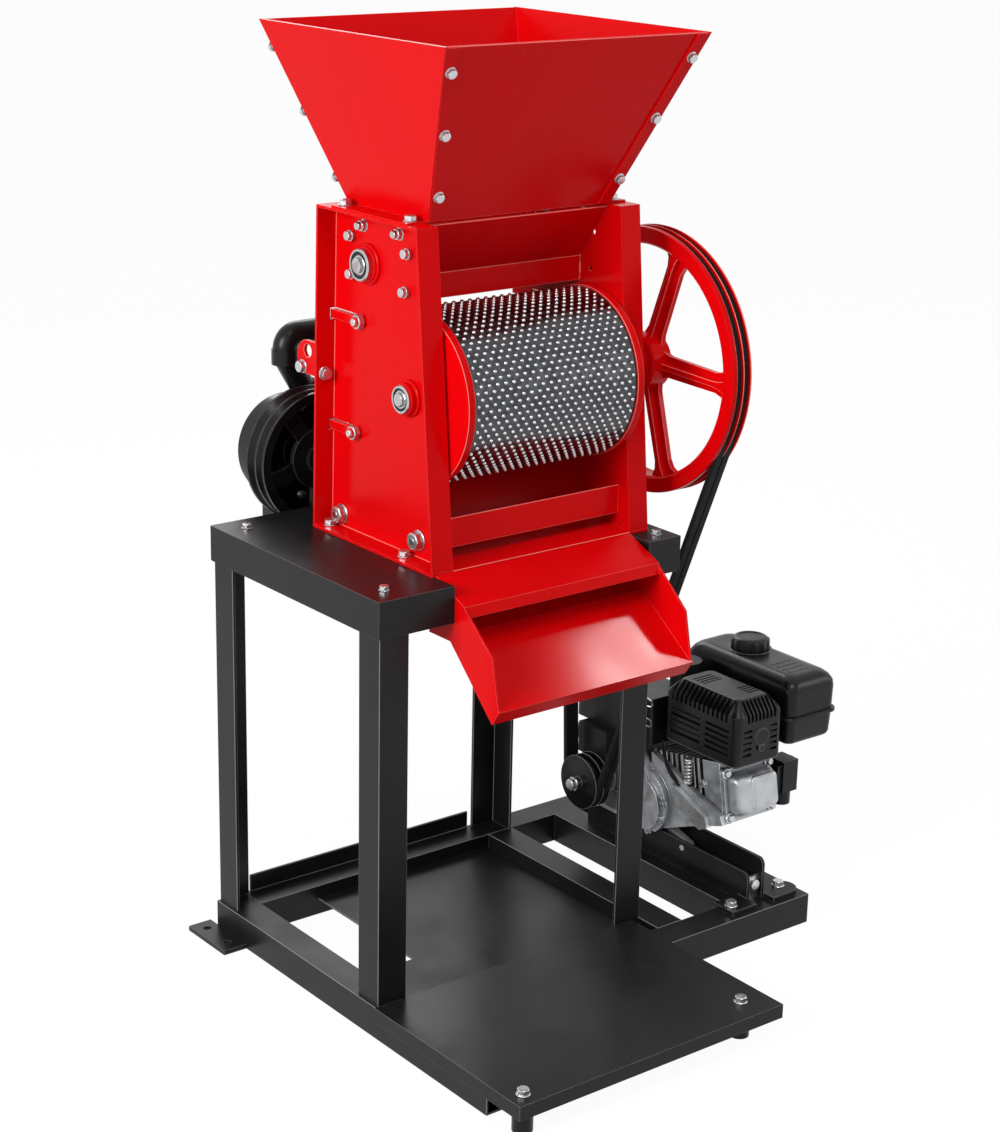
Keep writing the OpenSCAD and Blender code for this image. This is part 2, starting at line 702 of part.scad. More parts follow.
module left_wall() {
    fold = 2 * hopper_t;
    left_plane() translate([0, 0, -hopper_t]) linear_extrude(hopper_t) polygon([
        [-fold, 2], [hopper_low_d + fold, 2],
        [hopper_low_d + hopper_front_out + fold, side_slant], [-hopper_front_out - fold, side_slant]
    ]);
    front_plane() corner_strip();
    back_plane() corner_strip();
    difference() {
        block([head_x - flange_w + 3, hopper_x], [hopper_y, hopper_y + hopper_low_d], [head_top, hopper_z + 2]);
        block([head_x - flange_w, hopper_x - hopper_t], [hopper_y - 1, hopper_y + hopper_low_d + 1],
            [hopper_z, hopper_z + 3]);
        for (y = top_bolt_y) bar_z([head_top - 1, hopper_z + 1], head_x - 14, y, bolt_r + hole_play);
    }
}
module hopper_front() color(red) on_stand() front_plane() end_wall();
module hopper_back() color(red) on_stand() back_plane() end_wall();
module hopper_left() color(red) on_stand() left_wall();
module hopper_right() color(red) on_stand()
    translate([2 * hopper_x + hopper_w, 0, 0]) mirror([1, 0, 0]) left_wall();
module hopper_bolts() color(zinc) on_stand() for (s = [-1, 1], k = hopper_bolt_at) {
    x = s * (hopper_half + k * hopper_side_out - strip_w / 2);
    front_plane() translate([x, k * hopper_slant, 2 * hopper_t + 0.1]) bolt(4, 0);
    back_plane() translate([x, k * hopper_slant, 2 * hopper_t + 0.1]) bolt(4, 0);
}

// Rounded lug behind the left plate
module rear_lug() color(red) on_stand() difference() {
    union() {
        profile_x([head_x - 12, head_x - 6], [
            [web_back(drum_z - 12), drum_z - 12], [web_back_top + 58, drum_z - 12],
            [web_back_top + 58, drum_z + 40], [web_back(drum_z + 40), drum_z + 40]
        ]);
        bar_x([head_x - 12, head_x - 6], web_back_top + 58, drum_z + 14, 26);
    }
    bar_x([head_x - 13, head_x - 5], web_back_top + 56, drum_z + 24, 10);
    bar_x([head_x - 13, head_x - 5], web_back_top + 69, drum_z - 2, bolt_r + hole_play);
}

module drum_shaft() color(zinc) on_stand() {
    bar_x([shaft_left, left_in + 1], drum_y, drum_z, stub_r);
    bar_x([left_in + 1, shaft_right], drum_y, drum_z, shaft_r);
}
// End discs, each with a hub inside and a narrow band round the end of the sleeve
module drum_discs() color(red) on_stand() for (x = [disc_x, disc_end - disc_t]) {
    difference() {
        union() {
            bar_x([x, x + disc_t], drum_y, drum_z, disc_r);
            if (x == disc_x) bar_x([x, x + 30], drum_y, drum_z, shaft_r + 12);
            else bar_x([x - 26, x + disc_t], drum_y, drum_z, shaft_r + 12);
        }
        bar_x([x - 60, x + 60], drum_y, drum_z, shaft_r + fit);
    }
    ring_x(x == disc_x ? x + disc_t : x - disc_band, drum_y, drum_z, [
        [drum_r + 0.1, 0], [disc_r, 0], [disc_r, disc_band], [drum_r + 0.1, disc_band]
    ]);
}
module drum_sleeve() color(steel) on_stand() ring_x(disc_x + disc_t, drum_y, drum_z, [
    [drum_r - sleeve_t, 0], [drum_r, 0], [drum_r, disc_end - disc_x - 2 * disc_t],
    [drum_r - sleeve_t, disc_end - disc_x - 2 * disc_t]
]);

// Bearing in its round housing, bore at the origin, housing standing out along +Z
module bearing(r, bore) difference() {
    union() {
        translate([0, 0, -web_t]) cylinder(r = r, h = web_t + 1);
        cylinder(r = r + 6, h = bearing_seat_t);
        cylinder(r = r + 3, h = bearing_out);
    }
    translate([0, 0, -web_t - 1]) cylinder(r = bore + fit, h = web_t + bearing_out + 2);
}
module bearings() color(steel) on_stand() {
    to_left(head_x, [drum_y, drum_z]) bearing(bearing_r, stub_r);
    to_right(right_out, [drum_y, drum_z]) bearing(bearing_r, shaft_r);
    to_left(head_x, [feed_y, feed_z]) bearing(feed_bearing_r, feed_shaft_r);
    to_right(right_out, [feed_y, feed_z]) bearing(feed_bearing_r, feed_shaft_r);
}

// Spoked wheel with two belt grooves in its rim
module drum_wheel() color(red) on_stand() {
    spoke_in = hub_r - 4;
    spoke_l = wheel_r - rim_d - spoke_in + 4;
    spoke_t = 12;
    rib_t = 10;
    ring_x(wheel_x, drum_y, drum_z, grooved(wheel_r - rim_d, wheel_r, rim_w, belt_x - wheel_x, belt_pitch, seat,
        wheel_belt_drop + belt_t + seat));
    difference() {
        union() {
            bar_x([hub_x, wheel_x + rim_w - 4], drum_y, drum_z, hub_r);
            bar_x([wheel_x - 14, wheel_x + 26], drum_y, drum_z, hub_r + 14);
            translate([wheel_x + 6, drum_y, drum_z]) for (i = [0:spokes - 1]) rotate([i * 360 / spokes + 20, 0, 0]) {
                translate([5, -spoke_w / 2, spoke_in]) cube([spoke_t, spoke_w, spoke_l]);
                translate([0, -rib_t / 2, spoke_in]) cube([24, rib_t, spoke_l]);
            }
        }
        bar_x([hub_x - 1, wheel_x + rim_w], drum_y, drum_z, shaft_r + fit);
    }
}

module feed_roller() color(steel) on_stand() {
    bar_x([feed_shaft_left, sprocket_x + sprocket_w + 5], feed_y, feed_z, feed_shaft_r);
    difference() {
        union() {
            bar_x([left_in + 4, right_face - 4], feed_y, feed_z, feed_r - 8);
            translate([left_in + 4, feed_y, feed_z]) for (i = [0:7]) rotate([i * 45, 0, 0])
                translate([0, -2, feed_r - 10]) cube([head_w - 8, 4, 10]);
        }
        bar_x([left_in, right_face], feed_y, feed_z, feed_shaft_r + fit);
    }
}
module sprocket(y, z, r, bore) difference() {
    bar_x([sprocket_x, sprocket_x + sprocket_w], y, z, r);
    bar_x([sprocket_x - 1, sprocket_x + sprocket_w + 1], y, z, bore + fit);
}
chain_gap = 0.4;
module drum_sprocket() color(steel) on_stand()
    sprocket(drum_y, drum_z, drum_sprocket_r, shaft_r);
module feed_sprocket() color(steel) on_stand()
    sprocket(feed_y, feed_z, feed_sprocket_r, feed_shaft_r);
module feed_chain() color(steel) on_stand() loop_band([sprocket_x - 1, sprocket_x + sprocket_w + 1],
    [drum_y, drum_z], [feed_y, feed_z], drum_sprocket_r + chain_gap + 8, feed_sprocket_r + chain_gap + 8, 8);

// Breast: the concave plate behind the drum, on two rods that ride in the slots,
// with a flat bar in each slot from the rod to the web's rear edge
slot_bar_out = 6;
slot_bar_half = 6.5;
module breast() color(red) on_stand() {
    difference() {
        bar_x([left_in + 8, right_face - 8], drum_y, drum_z, breast_r + breast_t);
        bar_x([left_in, right_face], drum_y, drum_z, breast_r);
        profile_x([left_in, right_face], [
            [drum_y, drum_z], [drum_y + 200, drum_z + 215], [drum_y - 220, drum_z + 215], [drum_y - 220, drum_z - 215],
            [drum_y + 240, drum_z - 215]
        ]);
    }
    for (p = [upper_rod, lower_rod]) {
        bar_x([head_x - 16, right_out + 16], p[0], p[1], breast_rod_r);
        block([left_in + 8, right_face - 8], [p[0] - breast_rod_r - 5, p[0]], [p[1] - 4, p[1] + 4]);
        for (s = [[head_x - seat, left_in], [right_face, right_out + seat]])
            block(s, [p[0], web_back(p[1])], [p[1] - slot_bar_half, p[1] + slot_bar_half]);
        for (s = [[head_x - slot_bar_out, head_x - seat], [right_out + seat, right_out + slot_bar_out]])
            block(s, [p[0] + 2.2 * breast_rod_r, web_back(p[1])], [p[1] - slot_bar_half, p[1] + slot_bar_half]);
    }
}
module breast_nuts() color(zinc) on_stand() for (p = [upper_rod, lower_rod]) {
    to_left(head_x - seat, p) nut(breast_rod_r);
    to_right(right_out + seat, p) nut(breast_rod_r);
}

module drive_belts() color(rubber) on_stand() for (x = [belt_x, belt_far_x])
    loop_band([x, x + belt_w], [drum_y, drum_z], [crank_y, crank_z], belt_out_r, pulley_belt_r, belt_t);

// Volute water pump behind the table
module pump_body() color(black) on_stand() difference() {
    union() {
        bar_y([pump_case_y, pump_case_y + pump_case_w], pump_x, pump_z, pump_case_r);
        bar_y([pump_case_y - 4, pump_case_y], pump_x, pump_z, 34);
        leaning(elbow_r + 3, -riser_l - 48, -riser_l);
        block([pump_x - 45, pump_x + 45], [pump_case_y + 8, pump_case_y + pump_case_w - 8],
            [shelf_z + shelf_t, pump_z - 40]);
        bar_y([pump_case_y + pump_case_w, pump_case_y + pump_case_w + 4], pump_x, pump_z, 40);
    }
    bar_y([pump_case_y - 10, pump_case_y + 36], pump_x, pump_z, pump_shaft_r + fit);
    leaning(elbow_bore_r, -riser_l - 40, -riser_l + 1);
}
module pump_pulley() color(black) on_stand() {
    web_r = 48;
    r = pump_pulley_r;
    w = pump_pulley_w;
    translate([pump_x, pump_pulley_y, pump_z]) rotate([-90, 0, 0]) {
        rotate_extrude($fn = 96) polygon([
            [r - 14, 0], [r, 0], [r, 5], [r - 10, 13], [r - 10, 17], [r - 1, 24], [r - 1, w - 24],
            [r - 10, w - 17], [r - 10, w - 13], [r, w - 5], [r, w], [r - 14, w]
        ]);
        translate([0, 0, 6]) difference() {
            cylinder(r = web_r, h = 10);
            translate([0, 0, -1]) cylinder(r = 20, h = 12);
        }
        for (i = [0:4]) rotate([0, 0, i * 72 + 18]) translate([web_r - 6, -13, 7]) cube([r - 12 - web_r + 6, 26, 8]);
        difference() {
            cylinder(r = 24, h = w);
            translate([0, 0, -1]) cylinder(r = pump_shaft_r + fit, h = w + 2);
        }
    }
    bar_y([pump_pulley_y - 6, pump_case_y + 36], pump_x, pump_z, pump_shaft_r);
}

// Outlet: a riser that leans left as it rises, a collar, a tight bend and a level run
module leaning(r, low, high) translate([riser_top[0], elbow_y, riser_top[1]])
    rotate([0, -elbow_lean, 0]) translate([0, 0, low]) cylinder(r = r, h = high - low);
module outlet_elbow() color(black) on_stand() {
    bend_z = elbow_z - elbow_bend;
    difference() {
        union() {
            leaning(elbow_r, -riser_l, 0);
            bar_z([bend_z - elbow_collar, bend_z], riser_top[0], elbow_y, elbow_r + 2);
        }
        leaning(elbow_bore_r, -riser_l - 1, 4);
        bar_z([riser_top[1], bend_z + 1], riser_top[0], elbow_y, elbow_bore_r);
    }
    translate([elbow_x, elbow_y, bend_z]) rotate([90, 0, 0]) rotate([0, 0, 90])
        rotate_extrude(angle = 90) translate([elbow_bend, 0]) difference() {
            circle(r = elbow_r);
            circle(r = elbow_bore_r);
        }
    difference() {
        bar_x([elbow_x, elbow_x + elbow_run], elbow_y, elbow_z, elbow_r);
        bar_x([elbow_x - 1, elbow_x + elbow_run + 1], elbow_y, elbow_z, elbow_bore_r);
    }
}
module pump_bracket() color(black) on_stand() {
    block([pump_x - 60, pump_x + 60], [table_d, table_d + shelf_t], [shelf_z, table_h - 8]);
    block([pump_x - 60, pump_x + 60], [table_d, pump_case_y + pump_case_w], [shelf_z, shelf_z + shelf_t]);
}

// Engine
module crankcase() color(alloy) on_stand() {
    difference() {
        union() {
            intersection() {
                bar_x([case_x, case_right], crank_y, crank_z, case_r);
                block([case_x, case_right], [case_front, case_back], [seat_z, crank_z + case_r]);
            }
            block([case_x, case_right], [case_front + 12, case_back - 10], [seat_z, seat_z + 20]);
            block(control_x, [crank_y - 16, crank_y + 16], [crank_z + 60, crank_z + case_r + 24]);
            bar_x([control_x[0] - lever_t - 3, control_x[0] + 2], throttle_at[0], throttle_at[1], 4);
        }
        bar_x([case_x - 1, case_right + 1], crank_y, crank_z, crank_r + fit);
    }
}
module side_cover() color(alloy) on_stand() difference() {
    intersection() {
        union() {
            bar_x([case_x - cover_t, case_x], crank_y - 22, crank_z + 8, 82);
            bar_x([case_x - cover_t - 6, case_x], crank_y, crank_z, 30);
            bar_x([case_x - cover_t + 4, case_x], crank_y - 90, crank_z - 16, 56);
            bar_x([case_x - cover_t - 3, case_x], crank_y - 90, crank_z - 19, 46);
            profile_x([case_x, head_x0], shroud);
        }
        block([case_x - 40, head_x0], [-10, 500], [seat_z + 1, cleaner_z]);
    }
    bar_x([case_x - 60, case_x + 1], crank_y, crank_z, crank_r + fit);
}
// Side of the cylinder's air shroud
shroud = [
    [crank_y - 94, crank_z + 68], [crank_y - 150, crank_z + 50], [crank_y - 219, crank_z + 25],
    [crank_y - 262, crank_z + 12], [crank_y - 268, crank_z - 2], [crank_y - 206, crank_z - 24],
    [crank_y - 120, crank_z - 60], [crank_y - 94, crank_z - 40]
];
// Along the cylinder: +Y' points from the crankshaft towards the head
module along_cylinder() translate([head_x0, crank_y, crank_z]) rotate([-cyl_tilt, 0, 0]) mirror([0, 1, 0]) children();
module cylinder_fins() {
    for (i = [0:8]) translate([0, 96 + i * 13, -46]) cube([head_w_x, 6, 98]);
    translate([12, 88, -34]) cube([head_w_x - 24, 130, 76]);
}
module cylinder_node() color(alloy) on_stand() difference() {
    union() {
        along_cylinder() cylinder_fins();
        along_cylinder() translate([0, head_reach - 40, -head_half]) cube([head_w_x, 40, 2 * head_half]);
    }
    bar_x([case_x - 1, case_right + 1], crank_y, crank_z, case_r + fit);
}
module valve_cover() color(alloy) on_stand() along_cylinder() translate([0, head_reach, -46]) {
    cube([head_w_x, 8, 86]);
    translate([6, 8, 6]) cube([head_w_x - 14, 28, 74]);
}
module muffler() color(black) on_stand() {
    translate([muffler_x, muffler_y, muffler_z]) round_plate(101, 169, 14, 108);
    bar_z([head_corner[1], muffler_z], muffler_x + 50, head_corner[0], 14);
}
module fuel_tank() color(black) on_stand() {
    lip = 4;
    seam = tank_z + 43;
    translate([tank_x, tank_y, tank_z]) round_plate(tank_w, tank_l, 22, tank_h - 8);
    translate([tank_x - lip, tank_y - lip, seam]) round_plate(tank_w + 2 * lip, tank_l + 2 * lip, 25, 5);
    translate([tank_x + 8, tank_y + 8, tank_z + tank_h - 8]) round_plate(tank_w - 16, tank_l - 16, 18, 8);
    bar_z([tank_z + tank_h, tank_z + tank_h + 5], cap_x, cap_y, 20);
    block([case_right + 5, case_right + 55], [crank_y - 67, crank_y - 47], [crank_z + case_r + 16.2, tank_z]);
    block([head_x0 + head_w_x - 8, head_x0 + head_w_x], [head_corner[0] - 2, head_corner[0] + 24],
        [head_corner[1], tank_z]);
}
module fuel_cap() color(black) on_stand() difference() {
    bar_z([tank_z + tank_h + seat, tank_z + tank_h + 21], cap_x, cap_y, 30);
    bar_z([tank_z + tank_h, tank_z + tank_h + 5 + seat], cap_x, cap_y, 20 + seat);
}
// Air cleaner: its box over the crankcase, a round cap, and an intake duct behind the pulley
module air_cleaner() color(black) on_stand() {
    duct_x = [case_x - cover_t - 24, case_x - cover_t];
    translate([case_x - 21, crank_y - 107, cleaner_z]) round_plate(90, 185, 12, 80);
    translate([case_x + 24, crank_y - 122, cleaner_z]) round_plate(74, 66, 12, 80);
    bar_z([cleaner_z + 80, cleaner_z + 128], case_x + 68, crank_y - 94, 26);
    block([case_x + 20, case_x + 60], [crank_y - 10, crank_y + 10], [crank_z + case_r, cleaner_z]);
    block(duct_x, [crank_y - 24, crank_y + 46], [crank_z + 34, cleaner_z]);
    bar_y([crank_y + 46, crank_y + 72], duct_x[0] + 12, crank_z + 62, 12);
}
module carburettor() color(alloy) on_stand() {
    x = head_x0 + head_w_x;
    block([x, x + 10], [crank_y - 270, crank_y - 226], [seat_z + 92, seat_z + 136]);
    block([x + 10, x + 42], [crank_y - 274, crank_y - 236], [seat_z + 88, seat_z + 142]);
    bar_z([seat_z + 64, seat_z + 88], x + 26, crank_y - 255, 15);
    bar_x([x + 42, x + 42 + lever_t + 3], choke_at[0], choke_at[1], 4);
}
// Starter housing, with the stop switch's box on its front
module recoil_cover() color(black) on_stand() {
    bar_x([case_right, case_right + 60], crank_y, recoil_z, 98);
    bar_x([case_right + 60, case_right + recoil_w], crank_y, recoil_z, recoil_face_r);
    block([case_right + 8, case_right + 48], [switch_y, switch_y + 32], [recoil_z + 38, recoil_z + 74]);
}
module recoil_handle() color(black) on_stand() {
    x = case_right + 70;
    block([x - 8, x + 8], [crank_y - 36, crank_y + 36], [handle_z + 10, handle_z + 26]);
    bar_z([handle_z, handle_z + 10], x, crank_y, 7);
}
module crankshaft() color(zinc) on_stand() bar_x([pulley_x - 10, case_right - 10], crank_y, crank_z, crank_r);
module engine_pulley() color(black) on_stand() difference() {
    ring_x(pulley_x, crank_y, crank_z, grooved(1, pulley_r, pulley_w, belt_x - pulley_x, belt_pitch, seat,
        pulley_belt_drop + belt_t + seat));
    bar_x([pulley_x - 1, pulley_x + pulley_w + 1], crank_y, crank_z, crank_r + fit);
}
// Levers: an arm on a pivot along X, with a pad at its end
module lever(x, at, arm, pad) difference() {
    union() {
        bar_x([x, x + lever_t], at[0], at[1], 9);
        translate([x, at[0] - 4, at[1]]) cube([lever_t, 8, arm]);
        translate([x - pad, at[0] - 8, at[1] + arm - 12]) cube([lever_t + pad, 16, 12]);
    }
    bar_x([x - 1, x + lever_t + 1], at[0], at[1], 4 + fit);
}
module throttle_lever() color(black) on_stand() lever(control_x[0] - seat - lever_t, throttle_at, 46, 8);
module choke_lever() color(black) on_stand()
    translate([0, choke_at[0], choke_at[1]]) mirror([0, 0, 1])
        lever(head_x0 + head_w_x + 42 + seat, [0, 0], 34, 0);
module stop_switch() color("firebrick") on_stand() {
    to_front(switch_y - seat, switch_at) cylinder(r = 10, h = 6);
    translate([switch_at[0] - 3, switch_y - seat - 14, switch_at[1] - 10]) cube([6, 9, 20]);
}

table_top();
legs();
base_left();
base_right();
base_rear();
base_front();
floor_pan();
platform();
stand_bolts();
anchor_plate();
engine_beams();
engine_rails();
belt_tensioner();
side_plate_left();
side_plate_right();
tie_rods();
head_bolts();
throat_front();
throat_back();
apron_bar();
bean_floor();
chute();
hopper_front();
hopper_back();
hopper_left();
hopper_right();
hopper_bolts();
rear_lug();
drum_shaft();
drum_discs();
drum_sleeve();
bearings();
drum_wheel();
feed_roller();
drum_sprocket();
feed_sprocket();
feed_chain();
breast();
breast_nuts();
drive_belts();
pump_body();
pump_pulley();
outlet_elbow();
pump_bracket();
crankcase();
side_cover();
cylinder_node();  // cylinder
valve_cover();
muffler();
fuel_tank();
fuel_cap();
air_cleaner();
carburettor();
recoil_cover();
recoil_handle();
crankshaft();
engine_pulley();
throttle_lever();
choke_lever();
stop_switch();
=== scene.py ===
"""Coffee pulper: detail pieces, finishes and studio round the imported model."""

import json
import logging
from dataclasses import dataclass
from enum import Enum
from math import acos, atan, atan2, cos, dist, hypot, pi, radians, sin

import bmesh
import bpy
from mathutils import Matrix, Vector

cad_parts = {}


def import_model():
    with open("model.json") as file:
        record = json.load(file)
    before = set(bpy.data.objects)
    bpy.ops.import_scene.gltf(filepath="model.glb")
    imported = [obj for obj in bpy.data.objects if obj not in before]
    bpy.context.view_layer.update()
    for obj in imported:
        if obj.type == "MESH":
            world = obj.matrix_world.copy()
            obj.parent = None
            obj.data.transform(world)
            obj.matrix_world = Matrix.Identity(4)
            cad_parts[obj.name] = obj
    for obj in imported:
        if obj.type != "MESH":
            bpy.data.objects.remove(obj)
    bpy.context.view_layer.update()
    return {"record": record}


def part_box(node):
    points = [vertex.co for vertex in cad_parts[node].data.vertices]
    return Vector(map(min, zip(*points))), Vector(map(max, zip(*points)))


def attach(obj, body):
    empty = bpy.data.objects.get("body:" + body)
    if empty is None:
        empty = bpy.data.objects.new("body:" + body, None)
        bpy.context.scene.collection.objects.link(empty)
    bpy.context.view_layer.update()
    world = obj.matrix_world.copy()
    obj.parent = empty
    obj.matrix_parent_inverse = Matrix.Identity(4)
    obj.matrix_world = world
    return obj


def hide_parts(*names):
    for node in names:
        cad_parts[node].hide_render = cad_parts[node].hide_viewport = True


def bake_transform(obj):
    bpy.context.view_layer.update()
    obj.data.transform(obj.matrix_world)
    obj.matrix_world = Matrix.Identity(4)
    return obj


MM = 0.001
# Angle in degrees over which an edge stays sharp in the light.
SHARP = 32
WHITE = (1.0, 1.0, 1.0, 1.0)
# Painted shade: the colour that a casting darkens to between its fins, where ambient occlusion finds it closed in.
CREVICE_SHADE = "#050505"
LOG = logging.getLogger("coffee_pulper")
Pair = tuple[float, float]
Point = tuple[float, float, float]
Spot = tuple[Point, Point]
Piece = bpy.types.Object

LEFT: Point = (-1.0, 0.0, 0.0)
RIGHT: Point = (1.0, 0.0, 0.0)
FRONT: Point = (0.0, -1.0, 0.0)
BACK: Point = (0.0, 1.0, 0.0)
UP: Point = (0.0, 0.0, 1.0)

# Where the axes that several assemblies share lie: from the stand's front left corner back, and up from the floor.
DRUM_AXIS: Pair = (150.0, 905.0)
FEED_AXIS: Pair = (253.0, 1081.0)
CRANK_AXIS: Pair = (272.0, 163.0)

# A colour Mix node's factor, two colours and result by number, because its sockets' names repeat.
MIX_FACTOR, MIX_LOW, MIX_HIGH, MIX_RESULT = 0, 6, 7, 2


def linear(colour: str) -> tuple[float, float, float, float]:
    """Turns an sRGB hex colour to linear RGBA.

    Args:
        colour: A colour such as "#c01010".

    Returns:
        Red, green, blue and alpha for a shader socket.
    """
    parts = [int(colour[i:i + 2], 16) / 255 for i in (1, 3, 5)]
    r, g, b = (c / 12.92 if c <= 0.04045 else ((c + 0.055) / 1.055) ** 2.4 for c in parts)
    return r, g, b, 1.0


def add_node(tree: bpy.types.NodeTree, kind: str, inputs: dict | None = None, **settings: object) -> bpy.types.Node:
    """Adds a node with its settings, values and links.

    Args:
        tree: The node tree.
        kind: Blender's name for the node.
        inputs: Input name or number against a value, a socket to link, or a node to link by its first output.
        **settings: Properties of the node.

    Returns:
        The new node.
    """
    node = tree.nodes.new(kind)
    for key, value in settings.items():
        setattr(node, key, value)
    for key, value in (inputs or {}).items():
        if isinstance(value, bpy.types.Node):
            value = value.outputs[0]
        if isinstance(value, bpy.types.NodeSocket):
            tree.links.new(value, node.inputs[key])
        else:
            node.inputs[key].default_value = value
    return node


def cleared(owner: bpy.types.Material | bpy.types.World) -> bpy.types.NodeTree:
    """Gives the emptied node tree of a material or a world.

    Args:
        owner: The material or world.

    Returns:
        Its node tree, with no node in it.
    """
    owner.use_nodes = True
    owner.node_tree.nodes.clear()
    return owner.node_tree


def linked(name: str, data: bpy.types.ID) -> Piece:
    """Makes an object and puts it in the scene.

    Args:
        name: The object's name.
        data: Its mesh, lamp or camera.

    Returns:
        The new object.
    """
    made = bpy.data.objects.new(name, data)
    bpy.context.scene.collection.objects.link(made)
    return made


@dataclass(frozen=True)
class Finish:
    """One real surface: its colours, gloss and grain, with patch, grain, depth and the reach of the painted shade in
    its crevices in millimetres.
    """

    name: str
    colour: str
    shade: str
    metallic: float = 0.0
    roughness: float = 0.3
    spread: float = 0.08
    patch: float = 60.0
    grain: float = 1.2
    depth: float = 0.02
    specular: float = 0.5
    stretch: Point = (1.0, 1.0, 1.0)
    crevice_shade: float = 0.0

    def material(self) -> bpy.types.Material:
        """Gives the finish's material, made on first use.

        Returns:
            The material.
        """
        found = bpy.data.materials.get(self.name)
        if found:
            return found
        material = bpy.data.materials.new(self.name)
        tree = cleared(material)
        where = add_node(tree, "ShaderNodeTexCoord").outputs["Object"]
        drawn = add_node(tree, "ShaderNodeMapping", {"Vector": where, "Scale": self.stretch})
        patches = add_node(tree, "ShaderNodeTexNoise", {"Vector": where, "Scale": 1000 / self.patch, "Detail": 3.0})
        grains = add_node(tree, "ShaderNodeTexNoise", {"Vector": drawn, "Scale": 1000 / self.grain, "Detail": 2.0})
        colour = add_node(tree, "ShaderNodeMix", {
            MIX_FACTOR: patches, MIX_LOW: linear(self.shade), MIX_HIGH: linear(self.colour)},
            data_type="RGBA").outputs[MIX_RESULT]
        # Painted shade: the colour darkens to the crevice shade colour where ambient occlusion finds the surface closed
        # in.
        if self.crevice_shade:
            reach = add_node(tree, "ShaderNodeAmbientOcclusion", {"Distance": self.crevice_shade * MM})
            unshaded = add_node(tree, "ShaderNodeMapRange", {
                "Value": reach.outputs["AO"], "From Min": 0.25, "From Max": 0.85, "To Min": 0.08, "To Max": 1.0})
            colour = add_node(tree, "ShaderNodeMix", {
                MIX_FACTOR: unshaded, MIX_LOW: linear(CREVICE_SHADE), MIX_HIGH: colour},
                data_type="RGBA").outputs[MIX_RESULT]
        rough = add_node(tree, "ShaderNodeMapRange", {
            "Value": patches, "From Min": 0.3, "From Max": 0.7,
            "To Min": max(self.roughness - self.spread, 0.02), "To Max": self.roughness + self.spread},
            interpolation_type="SMOOTHSTEP")
        bump = add_node(tree, "ShaderNodeBump", {
            "Height": grains, "Strength": 0.6, "Distance": self.depth * MM})
        shader = add_node(tree, "ShaderNodeBsdfPrincipled", {
            "Base Color": colour, "Metallic": self.metallic, "Roughness": rough,
            "Specular IOR Level": self.specular, "Normal": bump})
        add_node(tree, "ShaderNodeOutputMaterial", {"Surface": shader})
        return material


# Sprayed gloss enamel over sheet: a deep even red with a soft ripple and hard highlights.
RED = Finish("red_gloss_enamel", "#dd0409", "#cf0308", roughness=0.24, spread=0.05, patch=180, grain=7, depth=0.05,
             specular=0.07)
# The same enamel on the rounded edges of the sheets, in a pale pink that is a painted highlight.
RED_EDGE_HIGHLIGHT = Finish("red_enamel_edge", "#ff9088", "#fb6a60", roughness=0.3, grain=3, specular=0.3)
# Satin black enamel on rolled steel: dark grey in light, with a faint orange peel.
BLACK = Finish("black_satin_enamel", "#19191a", "#121213", roughness=0.36, spread=0.07, patch=120, grain=4,
               depth=0.05, specular=0.2)
# Black enamel rubbed along rolled and cut edges, and paler there as a painted highlight.
BLACK_EDGE_WEAR_AND_HIGHLIGHT = Finish("black_enamel_edge", "#8f9194", "#5f6164", roughness=0.4, specular=0.2)
# Bright zinc on fasteners: cool, fine grained and half bright.
ZINC = Finish("bright_zinc_plate", "#d4d6d8", "#b9bcbf", metallic=0.9, roughness=0.26, patch=9, grain=0.5)
# Turned and ground shaft steel.
GROUND = Finish("ground_shaft_steel", "#d0d0d0", "#b2b3b5", metallic=1.0, roughness=0.22, patch=20, grain=0.8,
                stretch=(8.0, 1.0, 1.0))
# Punched sheet steel, rolled to the drum and left bare.
PUNCHED = Finish("punched_sheet_steel", "#616366", "#2b2d30", metallic=1.0, roughness=0.25, spread=0.09, patch=11,
                 grain=1.0, depth=0.05)
# Crests of the punched dimples, paler than the sheet as a painted highlight.
CREST_HIGHLIGHT = Finish("polished_dimple_crest", "#dddfe1", "#94969a", metallic=1.0, roughness=0.16, patch=9, grain=0.8)
# Die-cast aluminium as cast: pale, dull and slightly pebbled, with painted shade in its crevices.
CAST = Finish("die_cast_aluminium", "#d3d5d8", "#a2a6aa", metallic=0.7, roughness=0.42, patch=18, grain=1.4,
              depth=0.06, crevice_shade=26.0)
# The dull skimmed face of the crankcase's side cover.
CAST_FACE = Finish("skimmed_cover_face", "#9a9da0", "#85888b", metallic=0.8, roughness=0.36, patch=30, grain=0.9)
# The same casting where an edge is machined or rubbed, and paler still as a painted highlight.
CAST_EDGE_WEAR_AND_HIGHLIGHT = Finish("rubbed_cast_aluminium", "#eef0f2", "#d7dadc", metallic=0.8, roughness=0.28, grain=1.0)
# Black painted iron casting: coarse grain under semi-gloss paint.
IRON = Finish("painted_iron_casting", "#111112", "#0b0b0c", roughness=0.3, patch=40, grain=2.2, depth=0.12,
              specular=0.25)
# The same paint worn thin on the casting's corners, where grey iron shows, and paler there as a painted highlight.
IRON_EDGE_WEAR_AND_HIGHLIGHT = Finish("painted_iron_edge", "#8b8d90", "#55575a", roughness=0.35, specular=0.3)
# Pressed steel tank and guard in semi-gloss stoved black.
STOVED = Finish("stoved_black_steel", "#141415", "#0e0e0f", roughness=0.3, patch=90, grain=2.5, depth=0.03,
                specular=0.24)
# The stoved black where it catches the light along a pressed bend.
STOVED_EDGE = Finish("stoved_black_edge", "#77797c", "#4a4c4f", roughness=0.34, specular=0.3)
